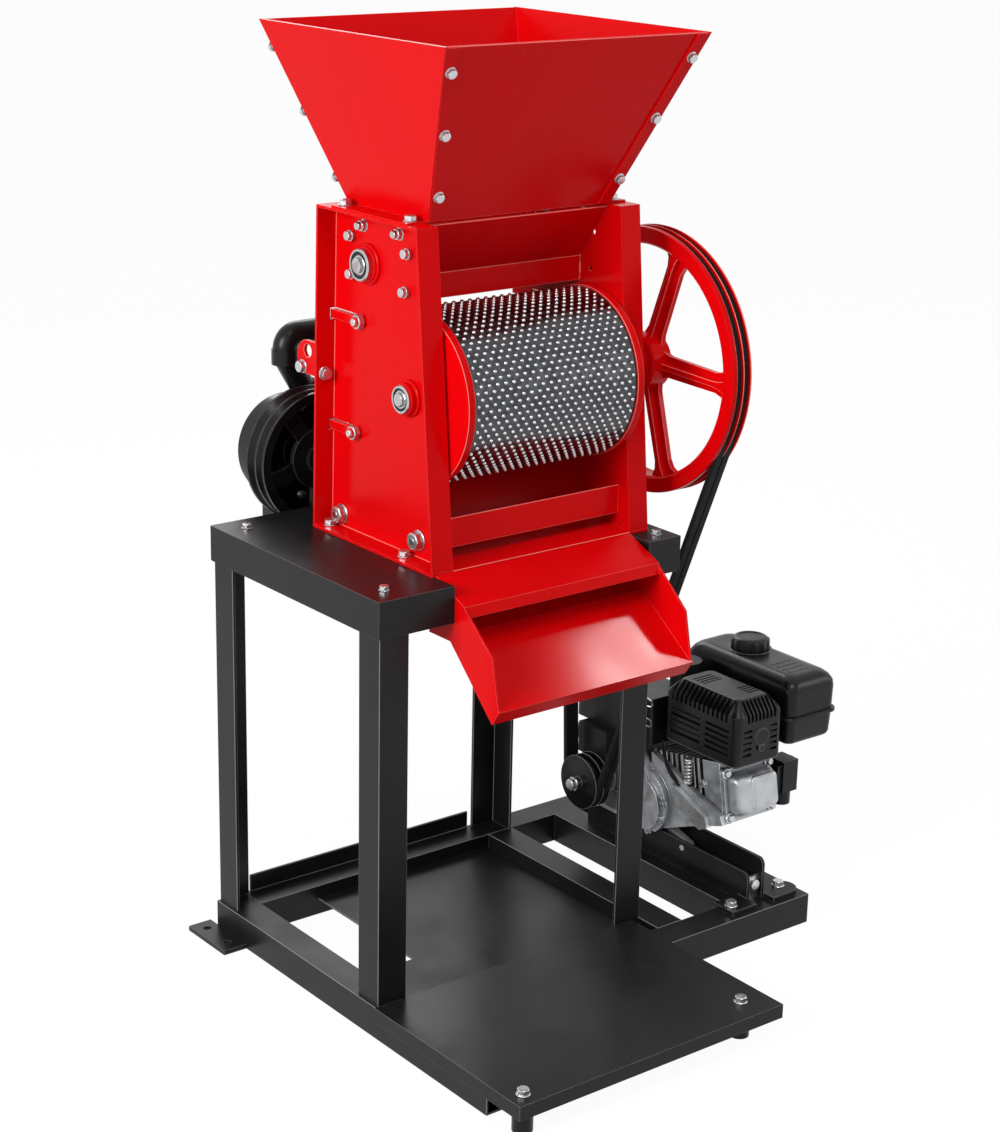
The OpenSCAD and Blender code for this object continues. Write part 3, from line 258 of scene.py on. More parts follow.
# Injection moulded black plastic with a fine spark-eroded grain.
MOULDED = Finish("moulded_black_plastic", "#121213", "#0c0c0d", roughness=0.4, patch=50, grain=0.9, depth=0.04,
                 specular=0.3)
# The same plastic along its corners, scuffed grey by handling, and paler there as a painted highlight.
MOULDED_EDGE_WEAR_AND_HIGHLIGHT = Finish("moulded_plastic_edge", "#5d6064", "#3a3c3f", roughness=0.42, specular=0.3)
# Moulded red plastic of the stop switch.
RED_PLASTIC = Finish("moulded_red_plastic", "#b01216", "#980d11", roughness=0.35, patch=20)
# Wrapped V belt: dull black rubber with a cloth grain.
RUBBER = Finish("wrapped_belt_rubber", "#151516", "#0e0e0f", roughness=0.7, patch=14, grain=1.1, depth=0.1,
                specular=0.2)
# Dark rubber lip seal of a bearing.
SEAL = Finish("bearing_seal_rubber", "#161617", "#101011", roughness=0.6)


class Axis(Enum):
    """Direction along which a shape is turned or drawn out."""

    X = 0
    Y = 1
    Z = 2

    def point(self, along: float, u: float, v: float) -> Vector:
        """Gives a point from its place along the axis and across it."""
        spots = {Axis.X: (along, u, v), Axis.Y: (u, along, v), Axis.Z: (u, v, along)}
        return Vector(spots[self])


class Shape:
    """One mesh built from turned, drawn and lofted bodies, in millimetres from the stand's corner."""

    origin = Vector((0.0, 0.0, 0.0))

    def __init__(self, at_origin: bool = False) -> None:
        """Starts an empty mesh.

        Args:
            at_origin: True for a template that Geometry Nodes will place.
        """
        self.bm = bmesh.new()
        self.shift = Vector((0.0, 0.0, 0.0)) if at_origin else Shape.origin

    def rings(self, rings: list[list[Vector]], mats: int | list[int] = 0, loop: bool = False) -> "Shape":
        """Joins rings of points with quads and closes the ends.

        Args:
            rings: Rings of equal length.
            mats: Material number, or one for each gap between rings.
            loop: True when the last ring joins the first, as round a tube's wall.

        Returns:
            The shape itself.
        """
        rows = [[self.bm.verts.new(p) for p in ring] for ring in rings]
        count = len(rows[0])
        gaps = len(rows) if loop else len(rows) - 1
        for i in range(gaps):
            low, high = rows[i], rows[(i + 1) % len(rows)]
            mat = mats[i] if isinstance(mats, list) else mats
            for j in range(count):
                k = (j + 1) % count
                self.bm.faces.new((low[j], low[k], high[k], high[j])).material_index = mat
        if not loop:
            ends = (mats[0], mats[-1]) if isinstance(mats, list) else (mats, mats)
            self.bm.faces.new(rows[0]).material_index = ends[0]
            self.bm.faces.new(rows[-1]).material_index = ends[1]
        return self

    def turned(self, axis: Axis, at: Pair, profile: list[Pair], mats: int | list[int] = 0, loop: bool = False,
               sides: int = 64, waves: int = 0, wave: float = 0.0) -> "Shape":
        """Turns a profile of (radius, place) pairs about an axis.

        Args:
            axis: The axis it turns about.
            at: Where the axis is, across it.
            profile: Radius and place along the axis, in order.
            mats: Material number, or one for each step of the profile.
            loop: True for a profile that closes on itself.
            sides: Sides round.
            waves: Number of scallops round.
            wave: Height of the scallops.

        Returns:
            The shape itself.
        """
        rings = []
        for radius, along in profile:
            ring = []
            for i in range(sides):
                a = 2 * pi * i / sides
                r = radius + (wave * cos(waves * a) if waves else 0.0)
                ring.append(axis.point(along, at[0] + r * cos(a), at[1] + r * sin(a)))
            rings.append(ring)
        return self.rings(rings, mats, loop)

    def tube(self, axis: Axis, at: Pair, span: Pair, outer: float, inner: float, sides: int = 64) -> "Shape":
        """Adds a round tube along an axis."""
        profile = [(inner, span[0]), (outer, span[0]), (outer, span[1]), (inner, span[1])]
        return self.turned(axis, at, profile, 0, True, sides)

    def bar(self, axis: Axis, at: Pair, span: Pair, radius: float, mat: int = 0, sides: int = 40,
            chamfer: float = 0.0) -> "Shape":
        """Adds a round bar along an axis.

        Args:
            axis: The bar's direction.
            at: Where its axis is, across it.
            span: Where it starts and ends.
            radius: Its radius.
            mat: Material number.
            sides: Sides round.
            chamfer: Width of its ends' chamfers.

        Returns:
            The shape itself.
        """
        low, high = span
        tip = radius - chamfer
        profile = [(tip, low), (radius, low + chamfer), (radius, high - chamfer), (tip, high)]
        return self.turned(axis, at, profile if chamfer else profile[1:3], mat, False, sides)

    def block(self, x: Pair, y: Pair, z: Pair) -> "Shape":
        """Adds a box between ranges."""
        return self.rings([[Vector((a, b, h)) for a, b in ((x[0], y[0]), (x[1], y[0]), (x[1], y[1]), (x[0], y[1]))]
                           for h in z])

    def drawn(self, axis: Axis, outline: list[Pair], span: Pair, mat: int = 0) -> "Shape":
        """Draws an outline out along an axis."""
        return self.rings([[axis.point(a, u, v) for u, v in outline] for a in span], mat)

    def lofted(self, layers: list[Point], x: Pair, y: Pair, corner: int = 6) -> "Shape":
        """Lofts a rounded rectangle up +Z, drawn in or out at each layer.

        Args:
            layers: Height, inset and corner radius of each.
            x: Left and right side before the inset.
            y: Front and rear side before the inset.
            corner: Steps round a corner.

        Returns:
            The shape itself.
        """
        rings = []
        for z, inset, r in layers:
            x0, x1, y0, y1 = x[0] + inset, x[1] - inset, y[0] + inset, y[1] - inset
            ring = []
            for cx, cy, start in ((x1 - r, y1 - r, 0), (x0 + r, y1 - r, 90), (x0 + r, y0 + r, 180),
                                  (x1 - r, y0 + r, 270)):
                for i in range(corner + 1):
                    a = radians(start + 90 * i / corner)
                    ring.append(Vector((cx + r * cos(a), cy + r * sin(a), z)))
            rings.append(ring)
        return self.rings(rings)

    def piped(self, path: list[Point], radius: float, mat: int = 0, sides: int = 16) -> "Shape":
        """Runs a round section along a path of points.

        Args:
            path: The points of its middle.
            radius: Radius of the section.
            mat: Material number.
            sides: Sides round.

        Returns:
            The shape itself.
        """
        points = [Vector(p) for p in path]
        rings = []
        for i, p in enumerate(points):
            along = (points[min(i + 1, len(points) - 1)] - points[max(i - 1, 0)]).normalized()
            turn = along.to_track_quat("Z", "Y")
            rings.append([p + turn @ Vector((radius * cos(a), radius * sin(a), 0))
                          for a in (2 * pi * k / sides for k in range(sides))])
        return self.rings(rings, mat)

    def move(self, matrix: Matrix) -> "Shape":
        """Moves all that is built so far."""
        self.bm.transform(matrix)
        return self

    def build(self, name: str, finishes: list[Finish], bevel: float = 0.0, edge: Finish | None = None,
              segments: int = 2, limit: float = 35.0) -> Piece:
        """Turns the shape into an object in metres.

        Args:
            name: The piece's name.
            finishes: Finishes by material number.
            bevel: Width of the rounded edges.
            edge: Finish of those edges, if they differ.
            segments: Steps across an edge.
            limit: Least angle of an edge that is rounded.

        Returns:
            The finished object at the origin.
        """
        bmesh.ops.remove_doubles(self.bm, verts=self.bm.verts, dist=1e-4)
        bmesh.ops.recalc_face_normals(self.bm, faces=self.bm.faces)
        self.bm.transform(Matrix.Translation(self.shift) @ Matrix.Scale(MM, 4))
        return finished(name, self.bm, finishes, bevel, edge, segments, limit)


def applied(piece: Piece) -> Piece:
    """Bakes a piece's modifiers into a plain mesh.

    Args:
        piece: The piece.

    Returns:
        The same piece.
    """
    graph = bpy.context.evaluated_depsgraph_get()
    graph.update()
    mesh = bpy.data.meshes.new_from_object(piece.evaluated_get(graph))
    piece.modifiers.clear()
    piece.data = mesh
    return piece


def finished(name: str, bm: bmesh.types.BMesh, finishes: list[Finish], bevel: float, edge: Finish | None,
             segments: int = 2, limit: float = 35.0) -> Piece:
    """Makes an object of a mesh, with its finishes and rounded edges.

    Args:
        name: The piece's name.
        bm: The mesh, in metres.
        finishes: Finishes by material number.
        bevel: Width of the rounded edges in millimetres.
        edge: Finish of those edges, if they differ.
        segments: Steps across an edge.
        limit: Least angle of an edge that is rounded.

    Returns:
        The object, at the origin.
    """
    mesh = bpy.data.meshes.new(name)
    bm.to_mesh(mesh)
    bm.free()
    for finish in finishes + ([edge] if edge else []):
        mesh.materials.append(finish.material())
    piece = linked(name, mesh)
    if bevel:
        rounding = piece.modifiers.new("edges", "BEVEL")
        rounding.width = bevel * MM
        rounding.segments = segments
        rounding.limit_method = "ANGLE"
        rounding.angle_limit = radians(limit)
        rounding.material = len(finishes) if edge else -1
        return evened(applied(piece))
    return smoothed(piece)


def smoothed(piece: Piece) -> Piece:
    """Shades a piece smooth but for its sharp edges.

    Args:
        piece: The piece.

    Returns:
        The same piece.
    """
    piece.data.shade_smooth()
    piece.data.set_sharp_from_angle(angle=radians(SHARP))
    return piece


def evened(piece: Piece) -> Piece:
    """Smooths a piece's rounded edges and keeps its flat faces flat in the light.

    Args:
        piece: The piece.

    Returns:
        The same piece.
    """
    normals = smoothed(piece).modifiers.new("even_light", "WEIGHTED_NORMAL")
    normals.keep_sharp = True
    normals.weight = 50
    return applied(piece)


@dataclass
class Model:
    """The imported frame, with what each node rides on and its slot."""

    bodies: dict[str, str]
    slots: dict[str, str]

    @classmethod
    def from_record(cls, record: dict) -> "Model":
        """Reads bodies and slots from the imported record."""
        bodies = {n: body for body, nodes in record["behaviour"]["bodies"].items() for n in nodes}
        return cls(bodies, {s["node"]: s["material_slot"] for s in record["subparts"]})

    def place(self, piece: Piece, node: str, *others: str, stands_for: bool = True) -> None:
        """Rides a piece on its node's body and says which nodes it stands for.

        Args:
            piece: The finished piece.
            node: The node that gives its body and slot.
            *others: Further nodes that it replaces.
            stands_for: False for a piece that is added to nodes that stay.
        """
        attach(piece, self.bodies[node])
        if stands_for:
            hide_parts(node, *others)
        LOG.info("%s on %s: %d faces", piece.name, self.bodies[node], len(piece.data.polygons))

    def dress(self, node: str, finish: Finish, edge: Finish | None = None, bevel: float = 0.8,
              segments: int = 2, limit: float = 35.0) -> None:
        """Replaces a node by its own form with rounded, lighter edges.

        Args:
            node: The node.
            finish: Finish of its faces.
            edge: Finish of its edges.
            bevel: Width of its edges in millimetres.
            segments: Steps across an edge.
            limit: Least angle of an edge that is rounded.
        """
        bm = bmesh.new()
        source = bpy.data.objects[node].data
        bm.from_mesh(source)
        bmesh.ops.remove_doubles(bm, verts=bm.verts, dist=2e-6)
        for face in bm.faces:
            face.material_index = 0
        bmesh.ops.dissolve_limit(bm, angle_limit=radians(0.4), verts=bm.verts, edges=bm.edges)
        self.place(finished(f"{node}_form", bm, [finish], bevel, edge, segments, limit), node)


class Fastener(Enum):
    """Kinds of fastener, drawn for a thread radius of one millimetre."""

    BOLT = "hex_bolt"
    NUT = "nut_on_stud"
    SPACED = "bolt_on_spacer"

    def template(self) -> Piece:
        """Builds the fastener standing on the origin, head up.

        Returns:
            The object that is repeated.
        """
        shape = Shape(at_origin=True)
        washer = [(1.0, 0.0), (2.1, 0.0), (2.1, 0.3), (1.0, 0.3)]
        hexagon = [(1.85 * cos(a), 1.85 * sin(a)) for a in (radians(60 * i) for i in range(6))]
        foot = 0.32
        if self is Fastener.SPACED:
            shape.bar(Axis.Z, (0, 0), (0.0, 1.7), 1.5, sides=20)
            foot = 1.7
            washer = [(r, z + foot) for r, z in washer]
            foot += 0.32
        if self is not Fastener.NUT:
            shape.turned(Axis.Z, (0, 0), washer, 0, True, 20)
        top = foot + (1.6 if self is Fastener.NUT else 1.35)
        shape.drawn(Axis.Z, hexagon, (foot, top))
        shape.turned(Axis.Z, (0, 0), [(1.72, top - 0.05), (1.5, top + 0.14)], 0, False, 20)
        if self is Fastener.NUT:
            shape.turned(Axis.Z, (0, 0), [(1.0, 0.0), (1.0, top + 0.75), (0.75, top + 0.95)], 0, False, 16)
        return shape.build(f"template_{self.value}", [ZINC], bevel=0.12, segments=1)


def scattered(name: str, template: Piece, spots: list[Spot], size: float,
              finish: Finish, turns: list[Point] | None = None) -> Piece:
    """Puts a template on marked points with Geometry Nodes.

    Args:
        name: The new piece's name.
        template: The object that is repeated, about the origin.
        spots: Place in stand millimetres and facing direction of each copy.
        size: Scale of each copy.
        finish: Finish of the copies.
        turns: Euler angles that replace the facing directions.

    Returns:
        One plain mesh object.
    """
    mesh = bpy.data.meshes.new(name)
    mesh.from_pydata([Vector(p) * MM + Shape.origin for p, _ in spots], [], [])
    turn = mesh.attributes.new("turn", "FLOAT_VECTOR", "POINT")
    for i, (_, facing) in enumerate(spots):
        turn.data[i].vector = turns[i] if turns else Vector(facing).to_track_quat("Z", "Y").to_euler()
    piece = linked(name, mesh)
    tree = bpy.data.node_groups.new(f"{name}_tree", "GeometryNodeTree")
    tree.interface.new_socket("Geometry", in_out="INPUT", socket_type="NodeSocketGeometry")
    pattern = tree.interface.new_socket("Template", in_out="INPUT", socket_type="NodeSocketObject")
    scale = tree.interface.new_socket("Size", in_out="INPUT", socket_type="NodeSocketFloat")
    tree.interface.new_socket("Geometry", in_out="OUTPUT", socket_type="NodeSocketGeometry")
    given = add_node(tree, "NodeGroupInput")
    copied = add_node(tree, "GeometryNodeObjectInfo", {"Object": given.outputs["Template"]}).outputs["Geometry"]
    angles = add_node(tree, "GeometryNodeInputNamedAttribute", {"Name": "turn"}, data_type="FLOAT_VECTOR")
    turned = add_node(tree, "FunctionNodeEulerToRotation", {"Euler": angles.outputs["Attribute"]})
    placed = add_node(tree, "GeometryNodeInstanceOnPoints", {
        "Points": given, "Instance": copied, "Rotation": turned, "Scale": given.outputs["Size"]})
    real = add_node(tree, "GeometryNodeRealizeInstances", {"Geometry": placed})
    coated = add_node(tree, "GeometryNodeSetMaterial", {"Geometry": real, "Material": finish.material()})
    add_node(tree, "NodeGroupOutput", {"Geometry": coated})
    modifier = piece.modifiers.new("copies", "NODES")
    modifier.node_group = tree
    modifier[pattern.identifier] = template
    modifier[scale.identifier] = size
    applied(piece)
    bpy.data.objects.remove(template)
    return smoothed(piece)


def fastened(name: str, spots: list[Spot], size: float, kind: Fastener = Fastener.BOLT) -> Piece:
    """Sets bright fasteners of one kind on spots, size being their thread's radius."""
    return scattered(name, kind.template(), spots, size, ZINC)


def joined(name: str, pieces: list[Piece]) -> Piece:
    """Joins finished pieces into the first and renames it.

    Args:
        name: The joined piece's name.
        pieces: The pieces, which share a body.

    Returns:
        The joined piece.
    """
    with bpy.context.temp_override(active_object=pieces[0], selected_editable_objects=pieces):
        bpy.ops.object.join()
    pieces[0].name = name
    pieces[0].data.name = name
    return pieces[0]


@dataclass
class Assembly:
    """A sub-assembly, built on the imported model."""

    model: Model


@dataclass
class Stand(Assembly):
    """Welded angle and tube stand with its tray, platform and rails."""

    platform_bolts: tuple[Point, ...] = ((19, -315, 54), (439, -297, 54))
    table_bolts: tuple[Point, ...] = ((38, 42, 670), (38, 398, 670), (516, 398, 670), (528, 27, 670))
    foot_bolts: tuple[Point, ...] = ((640, -62, 58), (753, -52, 58))
    bolt_r: float = 5.0
    table_bolt_r: float = 3.9
    screw_at: Pair = (696.5, 76.0)
    screw_run: Pair = (-60.0, 146.0)
    screw_root: float = 4.2
    thread: float = 2.4
    lug: tuple[Pair, ...] = ((683, 710), (-50, -44), (50, 88))

    def build(self) -> None:
        """Dresses the stand and sets its bolts."""
        for node in ("table_top", "legs", "base_left", "base_right", "base_rear", "base_front", "floor_pan",
                     "platform", "anchor_plate", "engine_beams", "engine_rails", "pump_bracket"):
            self.model.dress(node, BLACK, BLACK_EDGE_WEAR_AND_HIGHLIGHT, 0.9)
        large = fastened("stand_bolt_heads", [(p, UP) for p in self.platform_bolts + self.foot_bolts], self.bolt_r)
        small = fastened("table_bolt_heads", [(p, UP) for p in self.table_bolts], self.table_bolt_r)
        self.model.place(joined("stand_bolt_heads", [large, small]), "stand_bolts")
        self.tension_screw()

    def tension_screw(self) -> None:
        """Builds the threaded screw between the rails, with its lug and nuts."""
        x, z = self.screw_at
        y, end = self.screw_run
        profile = [(self.screw_root, y)]
        while y < end:
            profile += [(self.bolt_r, y + self.thread / 2), (self.screw_root, y + self.thread)]
            y += self.thread
        shape = Shape().block(*self.lug).turned(Axis.Y, (x, z), profile, 0, False, 20)
        screw = shape.build("tension_screw", [ZINC], 0.4)
        spots = [((x, y, z), side) for y, side in zip(self.lug[1], (FRONT, BACK))]
        nuts = fastened("tension_nuts", spots, self.bolt_r)
        self.model.place(joined("tension_screw", [screw, nuts]), "belt_tensioner")


@dataclass
class Head(Assembly):
    """The two web plates, their guides, rods and fasteners."""

    left: float = 158.0
    right: float = 496.0
    rods: tuple[Pair, ...] = ((320, 692), (125, 700), (265, 1135), (177, 1136))
    rod_r: float = 6.0
    nut_r: Pair = (7.4, 4.6)
    breast_rods: tuple[Pair, ...] = ((269, 995), (280, 827))
    breast_nut_r: float = 6.2
    web_bolts: tuple[Pair, ...] = ((291, 1117), (152, 1112), (288, 1062), (157, 1057))
    web_bolt_r: float = 4.0
    # Height of the bottom and top flanges, then where their bolts lie from the front.
    flange_bolts: tuple[Point, ...] = ((674, 332, 141), (1161, 134, 292))
    flange_x: Pair = (144.0, 510.0)
    bolt_r: float = 5.0
    # Plane of the left web's folds, the radius of the thin painted highlights along them, its rear edge's foot, and how
    # far that leans over its rise.
    fold_x: float = 157.7
    fold_highlight_r: float = 0.7
    rear_foot: Pair = (346.0, 670.0)
    lean: Pair = (12.0, 488.0)

    def build(self) -> None:
        """Dresses the plates and sets rods, bolts and bearings."""
        for node in ("side_plate_left", "side_plate_right", "throat_front", "throat_back", "apron_bar",
                     "bean_floor", "chute", "rear_lug", "breast"):
            self.model.dress(node, RED, RED_EDGE_HIGHLIGHT, 0.8)
        # A thin bead in the pale edge colour up the joint at the cross bar, as a painted highlight.
        weld_highlight = Shape().piped([(490.8, 179.6, 1038), (490.9, 179.2, 1048), (490.8, 179.7, 1060), (490.9, 179.4, 1074)],
                             1.3, sides=8)
        self.model.place(weld_highlight.build("cross_bar_weld", [RED_EDGE_HIGHLIGHT]), "throat_front", stands_for=False)
        # Thin rods in the pale edge colour along the left web's folds, as painted highlights.
        lines = Shape()
        (y, foot), (back, rise) = self.rear_foot, self.lean
        for low, high in ((676, 816), (838, 984), (1006, 1152)):
            lines.piped([(self.fold_x, y - (z - foot) * back / rise, z) for z in (low, (low + high) / 2, high)],
                        self.fold_highlight_r, sides=8)
        lines.piped([(self.fold_x, y, 674.3) for y in (52, 200, 345)], self.fold_highlight_r - 0.1, sides=8)
        self.model.place(lines.build("web_fold_lines", [RED_EDGE_HIGHLIGHT]), "side_plate_left", stands_for=False)
        self.tie_rods()
        self.bolts()
        self.bearings()

    def tie_rods(self) -> None:
        """Builds the four tie rods with their nuts inside and out."""
        shape = Shape()
        for y, z in self.rods:
            shape.bar(Axis.X, (y, z), (self.left - 14, self.right + 14), self.rod_r, chamfer=1)
        rods = shape.build("tie_rod_bars", [GROUND])
        sets = [rods]
        for pair, scale in zip((self.rods[:2], self.rods[2:]), self.nut_r):
            spots = []
            for y, z in pair:
                spots += [((self.left, y, z), LEFT), ((self.right, y, z), RIGHT),
                          ((self.left + 4, y, z), RIGHT), ((self.right - 4, y, z), LEFT)]
            sets.append(fastened(f"tie_rod_nuts_{len(sets)}", spots, scale))
        self.model.place(joined("tie_rods_and_nuts", sets), "tie_rods")
        spots = [((x, y, z), side) for y, z in self.breast_rods
                 for x, side in ((self.left - 0.3, LEFT), (self.right + 0.3, RIGHT))]
        self.model.place(fastened("breast_rod_nuts", spots, self.breast_nut_r, Fastener.NUT), "breast_nuts")

    def bolts(self) -> None:
        """Sets the head's bolts."""
        spots = [((self.left, y, z), LEFT) for y, z in self.web_bolts]
        small = fastened("web_bolts", spots, self.web_bolt_r, Fastener.SPACED)
        spots = [((x, y, z), UP) for z, *rows in self.flange_bolts for x in self.flange_x for y in rows]
        spots += [((146, 407, 903), LEFT), ((140, 340, 906), FRONT)]
        large = fastened("head_bolt_heads", spots, self.bolt_r)
        self.model.place(joined("head_bolt_set", [small, large]), "head_bolts")

    def bearings(self) -> None:
        """Builds the four bearings in their red housings."""
        shape = Shape()
        for (y, z), r, boss, bores in ((DRUM_AXIS, 21.0, 13.0, (10.0, 15.0)), (FEED_AXIS, 24.0, 8.0, (11.0, 11.0))):
            for x, s, bore in zip((self.left, self.right), (-1, 1), bores):
                ring = [(bore + 0.05, -4), (r - 0.1, -4), (r - 0.1, 0), (r + 6, 0), (r + 6, 3.6), (r + 5, 4.6),
                        (r + 3, 5.2), (r + 2.8, boss - 0.8), (r + 2, boss), (r - 0.2, boss), (r - 0.2, 16.6),
                        (r - 1.4, 18), (r - 4.2, 18), (r - 4.8, 14.5), (bore + 3.6, 14.5), (bore + 3.4, 17.4),
                        (bore + 2.6, 18), (bore + 0.4, 18), (bore + 0.05, 16)]
                mats = [0] * 9 + [1] * 4 + [2] + [1] * 5
                shape.turned(Axis.X, (y, z), [(a, x + s * b) for a, b in ring], mats, True)
        self.model.place(shape.build("flange_bearings", [RED, GROUND, SEAL]), "bearings")


@dataclass
class Hopper(Assembly):
    """Four flared sheets, bolted through strips at the corners."""

    x: float = 165.0
    width: float = 324.0
    y: float = 122.0
    depth: float = 182.0
    z: float = 1161.0
    height: float = 252.0
    front_out: float = 126.0
    side_out: float = 69.0
    strip: float = 20.0
    # How far the bolts at the back stand in from the corner.
    back_inset: float = 7.0
    sheet: float = 3.0
    bolt_places: tuple[float, ...] = (0.16, 0.52, 0.87)
    bolt_r: float = 4.0

    def build(self) -> None:
        """Dresses the sheets and sets their bolts."""
        for side in ("front", "back", "left", "right"):
            self.model.dress(f"hopper_{side}", RED, RED_EDGE_HIGHLIGHT, 0.8)
        tilt = atan(self.front_out / self.height)
        slant = hypot(self.height, self.front_out)
        sets = []
        for face, kind, inset in ((-1, Fastener.BOLT, self.strip / 2), (1, Fastener.SPACED, self.back_inset)):
            spots = []
            foot = Vector((self.x + self.width / 2, self.y if face < 0 else self.y + self.depth, self.z))
            out = Vector((0, face * cos(tilt), -sin(tilt)))
            rise = Vector((0, face * sin(tilt), cos(tilt)))
            for side in (-1, 1):
                for k in self.bolt_places:
                    across = side * (self.width / 2 + k * self.side_out - inset)
                    at = foot + Vector((across, 0, 0)) + rise * slant * k + out * (2 * self.sheet + 0.1)
                    spots.append((tuple(at), tuple(out)))
            sets.append(fastened(f"hopper_bolt_heads_{len(sets)}", spots, self.bolt_r, kind))
        self.model.place(joined("hopper_bolt_heads", sets), "hopper_bolts")


@dataclass
class Drum(Assembly):
    """Pulping drum: shaft, end discs and the dimpled sleeve."""

    radius: float = 126.0
    sheet: float = 3.0
    start: float = 170.0
    end: float = 484.0
    rim: float = 4.0
    pitch: float = 14.6
    rows: int = 86
    dome: float = 3.1
    journal: Pair = (136.0, 164.0)
    journal_r: float = 10.0
    shaft: Pair = (163.0, 644.0)
    shaft_r: float = 15.0

    def build(self) -> None:
        """Dresses the discs, then builds the shaft and the sleeve."""
        self.model.dress("drum_discs", RED, RED_EDGE_HIGHLIGHT, 0.7)
        shape = Shape()
        shape.bar(Axis.X, DRUM_AXIS, self.journal, self.journal_r, chamfer=1, sides=48)
        shape.bar(Axis.X, DRUM_AXIS, self.shaft, self.shaft_r, chamfer=1.5, sides=48)
        self.model.place(shape.build("drum_shaft_turned", [GROUND]), "drum_shaft")
        self.model.place(self.sleeve(), "drum_sleeve")

    def sleeve(self) -> Piece:
        """Builds the rolled sheet with its raised dimples in staggered rows.

        Returns:
            The finished sleeve.
        """
        span, y, z = (self.start, self.end), *DRUM_AXIS
        rolled = Shape().tube(Axis.X, DRUM_AXIS, span, self.radius, self.radius - self.sheet, 2 * self.rows)
        shell = rolled.build("sleeve_sheet", [PUNCHED])
        dome = Shape(at_origin=True)
        dome.turned(Axis.Z, (0, 0), [(1.0, -0.2), (0.93, 0.25), (0.68, 0.62), (0.34, 0.82)], 0, False, 10)
        template = dome.build("template_dome", [CREST_HIGHLIGHT])
        spots = []
        columns = int((self.end - self.start - 2 * self.rim) / self.pitch)
        inset = (self.end - self.start - (columns - 0.5) * self.pitch) / 2
        for row in range(self.rows):
            a = 2 * pi * row / self.rows
            out = (0.0, cos(a), sin(a))
            for column in range(columns):
                x = self.start + inset + (column + 0.5 * (row % 2)) * self.pitch
                spots.append(((x, y + self.radius * out[1], z + self.radius * out[2]), out))
        domes = scattered("sleeve_domes", template, spots, self.dome, CREST_HIGHLIGHT)
        return joined("dimpled_sleeve", [shell, domes])


@dataclass
class Wheel(Assembly):
    """Cast five-spoke belt wheel, its belts and the engine's pulley."""

    x: float = 594.0
    radius: float = 205.0
    rim: float = 26.0
    width: float = 38.0
    hub_r: float = 30.0
    hub_x: float = 559.0
    bore: float = 15.05
    spokes: int = 5
    spoke_turn: float = 20.0
    # Half widths of a spoke's web and rib, and how much the web narrows on the way out.
    web: float = 17.5
    taper: float = 2.0
    rib: float = 5.4
    belt: float = 12.0
    first_belt: float = 9.0
    groove: float = 14.0
    deep: float = 13.3
    slack: float = 0.3
    bolt_x: float = 589.5
    bolt_r: float = 5.5

    def build(self) -> None:
        """Builds the wheel, then dresses the belts, pulley and crankshaft."""
        self.model.place(self.wheel(), "drum_wheel")
        self.model.dress("drive_belts", RUBBER, None, 0.8)
        self.model.dress("engine_pulley", IRON, IRON_EDGE_WEAR_AND_HIGHLIGHT, 1.0)
        self.model.dress("crankshaft", GROUND, None, 0.8)
        bolt = fastened("pulley_bolt", [((self.bolt_x, *CRANK_AXIS), LEFT)], self.bolt_r)
        self.model.place(bolt, "crankshaft", stands_for=False)

    def wheel(self) -> Piece:
        """Builds rim, hub and T-section spokes with swept roots.

        Returns:
            The finished wheel.
        """
        shape = Shape()
        inner, x, r = self.radius - self.rim, self.x, self.radius
        profile = [(inner + 4, 0.0), (inner + 2, 1.5), (inner, 4.0), (inner, self.width - 4),
                   (inner + 2, self.width - 1.5), (inner + 4, self.width), (r - 1.5, self.width), (r, self.width - 1)]
        for start in (self.first_belt + self.groove, self.first_belt):
            low, high = start - self.slack, start + self.belt + self.slack
            profile += [(r, high), (r - self.deep, high), (r - self.deep, low), (r, low)]
        profile += [(r, 2.0), (r - 0.6, 0.6), (r - 2, 0.0)]
        shape.turned(Axis.X, DRUM_AXIS, [(a, x + b) for a, b in profile], 0, True, 120)
        hub = [(self.bore, self.hub_x), (24, self.hub_x), (26, self.hub_x + 2), (27, x - 17), (30, x - 14),
               (41, x - 14), (44, x - 11), (44, x + 23), (41, x + 26), (31, x + 27), (28, x + 30), (26, x + 34),
               (self.bore, x + 34)]
        shape.turned(Axis.X, DRUM_AXIS, hub, 0, True)
        for i in range(self.spokes):
            turn = Matrix.Translation((0, *DRUM_AXIS)) @ Matrix.Rotation(
                radians(i * 360 / self.spokes + self.spoke_turn), 4, "X")
            web, rib = [], []
            for t in (k / 12 for k in range(13)):
                out = self.hub_r - 5 + t * (inner - self.hub_r + 8)
                # Spokes swell where they meet the hub and the rim.
                flare = 1 + 0.9 * max(0.0, 1 - t * 6) ** 2 + 1.1 * max(0.0, (t - 0.84) * 6.25) ** 2
                half = (self.web - self.taper * t) * flare
                web.append([turn @ Vector((px, py, out)) for px, py in (
                    (x + 11, -half), (x + 11, half), (x + 20, half - 1), (x + 20, 1 - half))])
                half = self.rib * (1 + 0.8 * (flare - 1))
                low = x + 2 - 4 * max(0.0, 1 - t * 6)
                rib.append([turn @ Vector((px, py, out)) for px, py in (
                    (low, -half + 1), (low, half - 1), (x + 12, half), (x + 12, -half))])
            shape.rings(web)
            shape.rings(rib)
        return shape.build("five_spoke_wheel", [RED], 1.4, RED_EDGE_HIGHLIGHT, 2, 50)


@dataclass(frozen=True)
class Sprocket:
    """A chain wheel: its node and axis, the radii of its root, bore and hub, and its teeth."""

    node: str
    at: Pair
    root: float
    bore: float
    hub: float
    teeth: int


